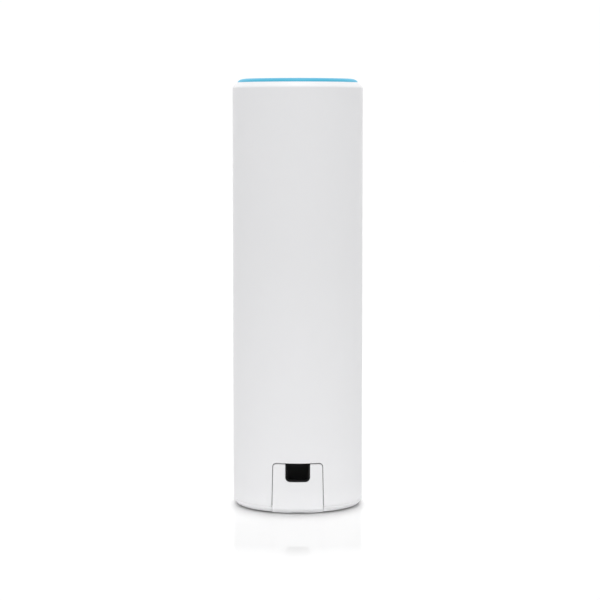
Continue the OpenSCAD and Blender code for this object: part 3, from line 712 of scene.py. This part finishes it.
    def tongue(self):
        """The riser at the back of the foot and the tongue on it, which goes into the base"""
        half, back = self.TONGUE_HALF, COVER_HIGH.y
        foot_end = back - self.TONGUE_LONG
        low, high = BASE_LOW.z + 2.05*MM, BASE_LOW.z + 2.95*MM
        start, end = foot_end - 2*MM, foot_end - 0.02*MM
        riser = [(half, start), (-half, start), (-half, end), (half, end)]
        start = foot_end - 1*MM
        tongue = [(half, start), (-half, start), (-half, back), (half, back)]
        return [self.block("riser", riser, COVER_LOW.z + self.FOOT_T - 0.5*MM, high),
                self.block("tongue", tongue, low, high, 0.1*MM)]

    def arm(self, size, side):
        """One of the two sprung arms, with the bump near its tip; side is 1 or -1"""
        out = size.cover_w/2 - self.ARM_IN
        root = -math.sqrt((BODY_R - size.wall)**2 - (out + 0.2*MM)**2)
        start, tip = root - 0.6*MM, root + self.ARM_LONG
        arm = [(side*out, start), (side*out, tip - 2.0*MM),
               (side*(out + self.BUMP), tip - 1.2*MM), (side*(out + self.BUMP), tip - 0.8*MM),
               (side*out, tip), (side*(out - self.ARM_T), tip), (side*(out - self.ARM_T), start)]
        if side < 0:
            arm.reverse()
        return self.block("arm", arm, self.ARM_LOW, self.ARM_HIGH, 0.1*MM)

    def execute(self, context):
        size = context.scene.node_sizes
        piece = place("cover_panel", self.panel(size), shell_white(), COVER, ["port_cover"])
        join_solids(piece, [self.foot_plate(size), *self.tongue(), self.arm(size, 1), self.arm(size, -1)])
        return {"FINISHED"}


def join_solids(piece, parts):
    """Unites meshes with a piece, one at a time, and shades the result"""
    scene = bpy.context.scene
    for mesh in parts:
        extra = bpy.data.objects.new(mesh.name, mesh)
        scene.collection.objects.link(extra)
        unite = piece.modifiers.new("unite", "BOOLEAN")
        unite.operation = "UNION"
        unite.solver = "EXACT"
        unite.object = extra
        piece.modifiers.move(len(piece.modifiers) - 1, 0)
        with bpy.context.temp_override(object=piece, active_object=piece):
            bpy.ops.object.modifier_apply(modifier=unite.name)
        bpy.data.objects.remove(extra)
    drop_slivers(piece.data)
    smooth(piece.data, SHARP)


def drop_slivers(mesh):
    """Takes out the doubled faces of no thickness that joining solids can leave"""
    shape = bmesh.new()
    shape.from_mesh(mesh)
    bmesh.ops.triangulate(shape, faces=shape.faces)
    bmesh.ops.dissolve_degenerate(shape, dist=WELD, edges=shape.edges)
    bmesh.ops.triangulate(shape, faces=shape.faces)
    same = {}
    for face in shape.faces:
        same.setdefault(frozenset(face.verts), []).append(face)
    doubled = [face for faces in same.values() if len(faces) > 1 for face in faces]
    bmesh.ops.delete(shape, geom=doubled, context="FACES")
    shape.to_mesh(mesh)
    shape.free()


class WIFINODE_OT_cable_grommet(bpy.types.Operator):
    """Builds the rubber lining that runs round the cable notch, with its flange behind the cover"""

    bl_idname = "wifinode.cable_grommet"
    bl_label = "Cable grommet"

    FRONT = 0.3*MM
    FLANGE = 0.9*MM
    BACK = 2.9*MM

    def path(self, size, grow):
        """The notch's outline grown by grow, from one end at the top to the other"""
        floor_z = COVER_TOP - size.notch_h
        turn = size.notch_corner
        half = size.notch_w/2
        points = [Vector((half + grow, COVER_TOP - (size.notch_h - turn)*k/8)) for k in range(8)]
        points += arc(half - turn, floor_z + turn, turn + grow, turn + grow, 0, -90, 8)
        points += [Vector(((half - turn)*(1 - k/5), floor_z - grow)) for k in range(1, 6)]
        return points + [Vector((-p.x, p.y)) for p in reversed(points[:-1])]

    def execute(self, context):
        size = context.scene.node_sizes
        front, step = self.FRONT, size.wall + 0.03*MM
        section = rounded([
            (-size.lining, front, 0.22*MM), (-0.02*MM, front, 0.12*MM), (-0.02*MM, step, 0.03*MM),
            (self.FLANGE, step, 0.12*MM), (self.FLANGE, self.BACK, 0.2*MM),
            (-size.lining, self.BACK, 0.2*MM)], 4)
        skin = Skin()
        rows = [[front_point(q.x, q.y, p.y) for q in self.path(size, p.x)] for p in section]
        made = skin.loft(rows, ring=True)
        skin.faces.append(tuple(row[0] for row in made))
        skin.faces.append(tuple(row[-1] for row in reversed(made)))
        # Partly the rubber's own black and partly painted shade, darker than the rubber so the lining looks
        # shaded in the notch's recess
        rubber = moulded(
            "black_rubber_and_painted_shade", tuple(context.scene.node_finish.rubber), gloss=0.5, spread_of_gloss=0.08,
            texture=2600.0, depth=0.02*MM, strength=0.3, variation=0.15, shine=0.12)
        mesh = skin.mesh("notch_lining", RUBBER_SHARP)
        place("notch_lining", mesh, rubber, COVER, ["cable_grommet"])
        return {"FINISHED"}


# ---- The light ring and the cap ----

# How far the ring's skirt stands in from its edge, and how thick it is
RING_LEDGE = 1.95*MM
RING_SKIRT = 1.5*MM


class WIFINODE_OT_light_ring(bpy.types.Operator):
    """Builds the translucent light guide round the top"""

    bl_idname = "wifinode.light_ring"
    bl_label = "Light ring"

    SEAT_DROP = 1.85*MM
    CAP_GAP = 0.1*MM
    # How much wider the dome's quarter ellipse is than the ring's visible band
    DOME_MORE = 0.8*MM
    GLOW = 0.6

    def execute(self, context):
        size = context.scene.node_sizes
        ring_r, top = RING_HIGH.x, RING_HIGH.z
        lip, low = SHELL_HIGH.z, RING_LOW.z
        ring_in = CAP_HIGH.x + self.CAP_GAP
        dome_w = ring_r - ring_in + self.DOME_MORE
        inner_edge = math.degrees(math.acos((ring_in - (ring_r - dome_w))/dome_w))
        rise = (top - lip)/math.sin(math.radians(inner_edge))
        skirt_out = ring_r - RING_LEDGE
        skirt_in = skirt_out - RING_SKIRT
        seat = lip - self.SEAT_DROP
        outline = [Vector((skirt_in, low)), Vector((skirt_out, low)), Vector((skirt_out, seat))]
        outline += [Vector((ring_r - 0.08*MM, seat)), Vector((ring_r, seat + 0.08*MM)),
                    Vector((ring_r, seat + 0.9*MM))]
        outline += arc(ring_r - dome_w, lip, dome_w, rise, 0, inner_edge - 2.5, 18)
        outline += [Vector((ring_in + 0.03*MM, top - 0.02*MM)), Vector((ring_in, top - 0.08*MM)),
                    Vector((ring_in, lip - 0.4*MM)), Vector((skirt_in, lip - 0.4*MM))]
        mesh = turned("light_guide", outline, size.round_steps + MORE_COLUMNS, 40.0)
        place("light_guide", mesh, self.glow(context), HOUSING, ["light_ring"])
        return {"FINISHED"}

    def glow(self, context):
        """Milky tinted plastic lit from below, a little uneven"""
        material, tree, shader = new_material("lit_light_guide")
        colour = tuple(context.scene.node_finish.light)
        cloudy = place_noise(tree, 90.0, 2.0)
        lit = tint(tree, cloudy.outputs["Fac"], tuple(c*0.94 for c in colour), colour)
        tree.links.new(lit, shader.inputs["Emission Color"])
        shader.inputs["Emission Strength"].default_value = self.GLOW
        dim = tuple(c*0.35 for c in colour)
        body = tint(tree, cloudy.outputs["Fac"], tuple(c*0.9 for c in dim), dim)
        tree.links.new(body, shader.inputs["Base Color"])
        shader.inputs["Specular IOR Level"].default_value = 0.15
        rough = spread(tree, cloudy.outputs["Fac"], 0.42, 0.5)
        tree.links.new(rough, shader.inputs["Roughness"])
        fine = place_noise(tree, 2500.0, 2.0)
        grain(tree, shader, fine.outputs["Fac"], 0.006*MM, 0.15)
        return material


class WIFINODE_OT_top_cap(bpy.types.Operator):
    """Builds the white cap inside the light ring, with its skirt and screw bosses"""

    bl_idname = "wifinode.top_cap"
    bl_label = "Top cap"

    SKIRT_T = 1.4*MM
    BOSS_CIRCLE = 12*MM
    BOSS_IN, BOSS_OUT = 1.13*MM, 2.4*MM
    BOSS_SIDES = 32

    def execute(self, context):
        size = context.scene.node_sizes
        cap_r, top = CAP_HIGH.x, CAP_HIGH.z
        edge_z = RING_HIGH.z
        under = SHELL_HIGH.z - 0.35*MM
        skirt_r = RING_HIGH.x - RING_LEDGE - RING_SKIRT - 0.2*MM
        skirt_low = SHELL_HIGH.z - 2.8*MM
        outline = [Vector((0, top))]
        for k in range(1, 14):
            share = k/14
            outline.append(Vector((cap_r*share, top - (top - edge_z)*share**2)))
        outline += arc(cap_r - 0.18*MM, edge_z - 0.17*MM, 0.18*MM, 0.18*MM, 84, 0, 5)
        skirt_in = skirt_r - self.SKIRT_T
        outline += [Vector((cap_r, under)), Vector((skirt_r, under)), Vector((skirt_r, skirt_low)),
                    Vector((skirt_in, skirt_low)), Vector((skirt_in, under)), Vector((0, under))]
        mesh = turned("cap_disc", outline, size.round_steps + MORE_COLUMNS, ring=False)
        piece = place("cap_disc", mesh, cap_white(), HOUSING, ["top_cap"])
        bosses = []
        for turn in (90, 210, 330):
            a = math.radians(turn)
            centre = Vector((self.BOSS_CIRCLE*math.cos(a), self.BOSS_CIRCLE*math.sin(a)))
            boss = Skin()
            profile = rounded([(self.BOSS_IN, CAP_LOW.z, 0.1*MM), (self.BOSS_OUT, CAP_LOW.z, 0.15*MM),
                               (self.BOSS_OUT, under + 0.3*MM, 0), (self.BOSS_IN, under + 0.3*MM, 0)], 3)
            ring = [2*math.pi*(k + 0.5)/self.BOSS_SIDES for k in range(self.BOSS_SIDES)]
            boss.loft([[Vector((centre.x + p.x*math.cos(b), centre.y + p.x*math.sin(b), p.y)) for b in ring]
                       for p in profile], closed=True, ring=True)
            bosses.append(boss.mesh("boss"))
        join_solids(piece, bosses)
        return {"FINISHED"}


# ---- The foot ----

class WIFINODE_OT_foot(bpy.types.Operator):
    """Builds the rubber foot and finishes the base that it sits in"""

    bl_idname = "wifinode.foot"
    bl_label = "Base and foot"

    PAD_W = 5.8*MM
    # How far the pad's ends keep clear of the cover's sides
    PAD_GAP = 1.2*MM
    PAD_STEPS = 120

    def execute(self, context):
        finish_node(["base"], shell_white())
        outer = FOOT_HIGH.x
        inner = outer - self.PAD_W
        cut = context.scene.node_sizes.cover_w/2 + self.PAD_GAP
        section = rounded([(inner, FOOT_LOW.z, 0.25*MM), (outer, FOOT_LOW.z, 0.25*MM),
                           (outer, FOOT_HIGH.z, 0.05*MM), (inner, FOOT_HIGH.z, 0.05*MM)], 4)
        skin = Skin()
        rows = []
        for p in section:
            start = math.asin(cut/p.x)
            turn = 2*math.pi - 2*start
            angles = [start + turn*k/self.PAD_STEPS for k in range(self.PAD_STEPS + 1)]
            rows.append([round_point(a, p.x, p.y) for a in angles])
        made = skin.loft(rows, ring=True)
        skin.faces.append(tuple(row[0] for row in made))
        skin.faces.append(tuple(row[-1] for row in reversed(made)))
        rubber = moulded(
            "grey_foot_rubber", (0.34, 0.34, 0.35), gloss=0.6, spread_of_gloss=0.08,
            texture=1800.0, depth=0.03*MM, strength=0.4, variation=0.05)
        mesh = skin.mesh("foot_pad", RUBBER_SHARP)
        place("foot_pad", mesh, rubber, HOUSING, ["foot_ring"])
        return {"FINISHED"}


# ---- The cable bay ----

class WIFINODE_OT_cable_bay(bpy.types.Operator):
    """Finishes the black bay behind the cover, the jack in its ceiling and the reset button"""

    bl_idname = "wifinode.cable_bay"
    bl_label = "Cable bay"

    def execute(self, context):
        finish_node(["chassis"], moulded(
            "bay_black", tuple(context.scene.node_finish.bay), gloss=0.5, spread_of_gloss=0.08,
            texture=2200.0, depth=0.03*MM, strength=0.35, variation=0.2))
        finish_node(["jack_insert", "board_header", "reset_switch"], moulded(
            "jack_black", (0.014, 0.014, 0.015), gloss=0.35, spread_of_gloss=0.05,
            texture=2800.0, depth=0.01*MM, strength=0.2, variation=0.2))
        finish_node(["jack_shield", "shield_can_lower", "shield_can_upper"], metal(
            "tinned_steel", (0.62, 0.61, 0.58), gloss=0.28, along=(6, 1, 1), texture=900.0, depth=0.001*MM))
        finish_node(["reset_button", "reset_stem"], moulded("button_grey", (0.62, 0.63, 0.64), 0.4))
        finish_node(["bulkhead_seal"], moulded("silicone_red", (0.42, 0.09, 0.05), 0.45))
        return {"FINISHED"}


# ---- The electronics ----

class WIFINODE_OT_electronics(bpy.types.Operator):
    """Finishes the boards, chips, antennas, leads, heat sink and screws inside"""

    bl_idname = "wifinode.electronics"
    bl_label = "Electronics"

    # Patches of tracks, tracks and vias, all to the metre
    PATCHES, TRACKS, VIAS = 190.0, 1700.0, 330.0
    TRACK_EDGE = (0.42, 0.54)
    VIA_SIZE = 0.11
    VIA_GOLD = (0.62, 0.44, 0.16, 1)

    def board(self, name, mask, copper):
        """Solder mask over patches of parallel copper tracks, with gold vias"""
        material, tree, shader = new_material(name)
        spot = node(tree, "ShaderNodeTexCoord")
        patches = node(tree, "ShaderNodeTexVoronoi", scale=self.PATCHES)
        patches.distance = "CHEBYCHEV"
        tree.links.new(spot.outputs["Object"], patches.inputs["Vector"])
        shares = node(tree, "ShaderNodeSeparateColor")
        tree.links.new(patches.outputs["Color"], shares.inputs["Color"])
        turned_patch = node(tree, "ShaderNodeMath", operation="GREATER_THAN")
        tree.links.new(shares.outputs["Red"], turned_patch.inputs[0])
        axes = node(tree, "ShaderNodeSeparateXYZ")
        tree.links.new(spot.outputs["Object"], axes.inputs["Vector"])
        other = node(tree, "ShaderNodeMath", operation="ADD")
        tree.links.new(axes.outputs["Y"], other.inputs[0])
        tree.links.new(axes.outputs["Z"], other.inputs[1])
        across = node(tree, "ShaderNodeMix", data_type="FLOAT")
        tree.links.new(turned_patch.outputs["Value"], across.inputs[0])
        tree.links.new(axes.outputs["X"], across.inputs[2])
        tree.links.new(other.outputs["Value"], across.inputs[3])
        pitch = node(tree, "ShaderNodeMath", operation="MULTIPLY")
        pitch.inputs[1].default_value = self.TRACKS
        tree.links.new(across.outputs[0], pitch.inputs[0])
        stripe = node(tree, "ShaderNodeMath", operation="PINGPONG")
        stripe.inputs[1].default_value = 1.0
        tree.links.new(pitch.outputs["Value"], stripe.inputs[0])
        edge = node(tree, "ShaderNodeMapRange")
        edge.inputs["From Min"].default_value = self.TRACK_EDGE[0]
        edge.inputs["From Max"].default_value = self.TRACK_EDGE[1]
        tree.links.new(stripe.outputs["Value"], edge.inputs["Value"])
        lines = tint(tree, edge.outputs["Result"], copper, mask)
        dots = node(tree, "ShaderNodeTexVoronoi", scale=self.VIAS)
        tree.links.new(spot.outputs["Object"], dots.inputs["Vector"])
        via = node(tree, "ShaderNodeMath", operation="LESS_THAN")
        via.inputs[1].default_value = self.VIA_SIZE
        tree.links.new(dots.outputs["Distance"], via.inputs[0])
        mixed = node(tree, "ShaderNodeMix", data_type="RGBA")
        tree.links.new(via.outputs["Value"], mixed.inputs[0])
        tree.links.new(lines, mixed.inputs[6])
        mixed.inputs[7].default_value = self.VIA_GOLD
        tree.links.new(mixed.outputs[2], shader.inputs["Base Color"])
        shader.inputs["Roughness"].default_value = 0.28
        grain(tree, shader, edge.outputs["Result"], 0.02*MM, 0.3)
        return material

    def execute(self, context):
        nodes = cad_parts
        green = self.board("green_board", (0.012, 0.10, 0.045), (0.03, 0.19, 0.08))
        finish_node(["main_board", "port_board"], green)
        finish_node(["led_board"], self.board("white_board", (0.78, 0.78, 0.76), (0.70, 0.70, 0.68)))
        finish_node(["heat_sink"], metal(
            "cast_aluminium", (0.66, 0.67, 0.68), gloss=0.42, texture=900.0, depth=0.03*MM))
        finish_node(["filter_capacitors"], metal(
            "capacitor_can", (0.55, 0.57, 0.60), gloss=0.25, along=(6, 6, 1)))
        gold = metal("gold_plate", (0.78, 0.56, 0.22), gloss=0.22, along=(1, 1, 3))
        finish_node([n for n in nodes if n.startswith("antenna_") and "ghz" in n], gold)
        finish_node(["antenna_plugs", "antenna_sockets", "jack_contacts"], gold)
        finish_node([n for n in nodes if n.startswith("antenna_lead")], moulded(
            "lead_jacket", (0.02, 0.02, 0.02), gloss=0.35, spread_of_gloss=0.05,
            texture=1500.0, depth=0.01*MM, strength=0.2, variation=0.2))
        white = moulded("nylon_white", (0.74, 0.73, 0.70), gloss=0.45)
        finish_node(["light_reflector", "antenna_carrier", "flex_sockets"], white)
        finish_node(["inner_frame"], moulded(
            "frame_grey", (0.05, 0.05, 0.055), gloss=0.5, spread_of_gloss=0.1,
            texture=1500.0, depth=0.03*MM, strength=0.4, variation=0.2))
        chip = moulded(
            "chip_black", (0.022, 0.022, 0.024), gloss=0.55, spread_of_gloss=0.08,
            texture=5000.0, depth=0.01*MM, strength=0.3, variation=0.2)
        finish_node([n for n in nodes if n.endswith("_chip") or n.endswith("_chips")], chip)
        finish_node(["network_transformer", "power_transformer", "power_inductors"], moulded(
            "ferrite", (0.035, 0.034, 0.036), gloss=0.6, spread_of_gloss=0.1,
            texture=2500.0, depth=0.02*MM, strength=0.4, variation=0.25))
        finish_node(["thermal_pads"], moulded(
            "gap_filler", (0.25, 0.36, 0.55), gloss=0.7, spread_of_gloss=0.08,
            texture=1200.0, depth=0.03*MM, strength=0.4, variation=0.1))
        finish_node(["ring_leds"], moulded("lamp_phosphor", (0.82, 0.72, 0.30), gloss=0.3))
        finish_node(["led_flex_cable"], moulded(
            "amber_film", (0.45, 0.22, 0.04), gloss=0.25, spread_of_gloss=0.05,
            texture=800.0, depth=0.01*MM, strength=0.2, variation=0.1))
        finish_node([n for n in nodes if n.endswith("_screws")], metal(
            "zinc_plate", (0.60, 0.61, 0.63), gloss=0.3, texture=2500.0))
        return {"FINISHED"}


# ---- The stage ----

class WIFINODE_OT_stage(bpy.types.Operator):
    """Builds the floor, the soft lights and the camera"""

    bl_idname = "wifinode.stage"
    bl_label = "Stage"

    SKY_SEEN = 1.02
    SKY_LIGHT = 0.55
    TOP_TILTS = (0.5, 1.8, 3.1)
    TOP_POWER = 1.82
    FILL_POWER = 0.42
    TOP_SPREAD = 3.6
    FILL_TILT, FILL_SPREAD = 78, 70
    LOW_REACH, LOW_W = 0.30, 0.10
    # Turn from -Y in degrees, and share of the power
    LOW_SIDES = ((0, 1.0), (90, 0.4), (180, 1.0), (270, 0.4))
    # The floor's mirror share falls from POLISH to none between two distances from the axis
    FLOOR_R = 6.0
    POLISH, POLISH_FROM, POLISH_TO = 0.2, 0.078, 0.104
    LENS = 122.58
    CAMERA = (0.85*MM, -0.765, 0.14536)
    CAMERA_DOWN = 5.107
    # Spread in degrees, height of the strip and of its middle, and power
    LOW_LAMPS = ((37, 10*MM, 6*MM, 0.0029), (10, 10*MM, 6*MM, 0.00024), (3, 3*MM, 2*MM, 0.00024))

    def floor(self, context):
        skin = Skin()
        middle = skin.row([Vector((0, 0, 0))])[0]
        ring = skin.row([round_point(2*math.pi*k/96, self.FLOOR_R, 0) for k in range(96)])
        for here, after in zip(ring, ring[1:] + ring[:1]):
            skin.faces.append((middle, here, after))
        mesh = skin.mesh("floor")
        floor = bpy.data.objects.new("floor", mesh)
        context.scene.collection.objects.link(floor)
        material, tree, shader = new_material("pale_floor")
        tree.nodes.remove(shader)
        dull = node(tree, "ShaderNodeBsdfDiffuse")
        dull.inputs["Color"].default_value = (*context.scene.node_finish.floor, 1)
        sheen = node(tree, "ShaderNodeBsdfGlossy")
        sheen.inputs["Roughness"].default_value = 0.04
        both = node(tree, "ShaderNodeMixShader")
        spot = node(tree, "ShaderNodeNewGeometry")
        away = node(tree, "ShaderNodeVectorMath", operation="LENGTH")
        polish = node(tree, "ShaderNodeMapRange", interpolation_type="SMOOTHSTEP")
        polish.inputs["From Min"].default_value = self.POLISH_FROM
        polish.inputs["From Max"].default_value = self.POLISH_TO
        polish.inputs["To Min"].default_value = self.POLISH
        polish.inputs["To Max"].default_value = 0.0
        tree.links.new(spot.outputs["Position"], away.inputs[0])
        tree.links.new(away.outputs["Value"], polish.inputs["Value"])
        tree.links.new(polish.outputs["Result"], both.inputs[0])
        tree.links.new(dull.outputs[0], both.inputs[1])
        tree.links.new(sheen.outputs[0], both.inputs[2])
        tree.links.new(both.outputs[0], tree.nodes["Material Output"].inputs["Surface"])
        mesh.materials.append(material)

    def lamp(self, context, name, tilt, spread, power):
        """A far, soft lamp; tilt leans it from straight overhead towards the back, in degrees"""
        lamp = bpy.data.lights.new(name, "SUN")
        lamp.energy = power
        lamp.angle = math.radians(spread)
        light = bpy.data.objects.new(name, lamp)
        light.rotation_euler = (math.radians(-tilt), 0, 0)
        context.scene.collection.objects.link(light)

    def low_lamp(self, context, name, turn, spread, tall, middle, power):
        """A low lamp that grazes the table and lights the foot of the tube; turn is from -Y, in degrees"""
        lamp = bpy.data.lights.new(name, "AREA")
        lamp.shape = "RECTANGLE"
        lamp.size, lamp.size_y = self.LOW_W, tall
        lamp.spread = math.radians(spread)
        lamp.energy = power
        light = bpy.data.objects.new(name, lamp)
        light.location = round_point(math.radians(turn), self.LOW_REACH, middle)
        light.rotation_euler = (math.radians(90), 0, math.radians(turn))
        light.visible_camera = False
        light.visible_glossy = False
        context.scene.collection.objects.link(light)

    def sky(self, context):
        """White all round, and dimmer as a source of light than it looks"""
        world = bpy.data.worlds.new("studio")
        context.scene.world = world
        world.use_nodes = True
        tree = world.node_tree
        shade = tree.nodes["Background"]
        shade.inputs["Color"].default_value = (1.0, 1.0, 1.0, 1)
        path = node(tree, "ShaderNodeLightPath")
        level = node(tree, "ShaderNodeMapRange")
        level.inputs["To Min"].default_value = self.SKY_SEEN
        level.inputs["To Max"].default_value = self.SKY_LIGHT
        tree.links.new(path.outputs["Is Diffuse Ray"], level.inputs["Value"])
        tree.links.new(level.outputs["Result"], shade.inputs["Strength"])

    def camera(self, context):
        lens = bpy.data.cameras.new("camera")
        camera = bpy.data.objects.new("camera", lens)
        context.scene.collection.objects.link(camera)
        context.scene.camera = camera
        lens.sensor_width = 36.0
        lens.lens = self.LENS
        lens.clip_start, lens.clip_end = 0.05, 50.0
        camera.location = self.CAMERA
        camera.rotation_euler = (math.radians(90 - self.CAMERA_DOWN), 0, 0)

    def execute(self, context):
        context.scene.view_settings.view_transform = "Standard"
        self.camera(context)
        self.floor(context)
        self.sky(context)
        top_power = self.TOP_POWER/len(self.TOP_TILTS)
        for i, tilt in enumerate(self.TOP_TILTS):
            self.lamp(context, f"top_light_{i + 1}", tilt, self.TOP_SPREAD, top_power)
        self.lamp(context, "front_fill", -self.FILL_TILT, self.FILL_SPREAD, self.FILL_POWER)
        self.lamp(context, "back_fill", self.FILL_TILT, self.FILL_SPREAD, self.FILL_POWER)
        for turn, share in self.LOW_SIDES:
            for spread, tall, middle, power in self.LOW_LAMPS:
                self.low_lamp(context, f"low_{spread}_{turn}", turn, spread, tall, middle, share*power)
        return {"FINISHED"}


class WIFINODE_PT_panel(bpy.types.Panel):
    """Lists the node's sizes, colours and pieces in the sidebar"""

    bl_idname = "WIFINODE_PT_panel"
    bl_label = "Wifi Node"
    bl_space_type = "VIEW_3D"
    bl_region_type = "UI"
    bl_category = "Wifi Node"

    def draw(self, context):
        layout = self.layout
        for group in (context.scene.node_sizes, context.scene.node_finish):
            box = layout.box()
            for key in group.__annotations__:
                box.prop(group, key)
        for operator in OPERATORS:
            layout.operator(operator.bl_idname)


GROUPS = (NodeSizes, NodeFinish)
OPERATORS = (
    WIFINODE_OT_stage,
    WIFINODE_OT_shell,
    WIFINODE_OT_port_cover,
    WIFINODE_OT_cable_grommet,
    WIFINODE_OT_light_ring,
    WIFINODE_OT_top_cap,
    WIFINODE_OT_foot,
    WIFINODE_OT_cable_bay,
    WIFINODE_OT_electronics,
)


def register():
    for group in (*GROUPS, *OPERATORS, WIFINODE_PT_panel):
        bpy.utils.register_class(group)
    bpy.types.Scene.node_sizes = PointerProperty(type=NodeSizes)
    bpy.types.Scene.node_finish = PointerProperty(type=NodeFinish)


def unregister():
    del bpy.types.Scene.node_finish
    del bpy.types.Scene.node_sizes
    for group in reversed((*GROUPS, *OPERATORS, WIFINODE_PT_panel)):
        bpy.utils.unregister_class(group)


def main():
    register()
    for operator in OPERATORS:
        group, name = operator.bl_idname.split(".")
        getattr(getattr(bpy.ops, group), name)()


if __name__ == "__main__":
    main()
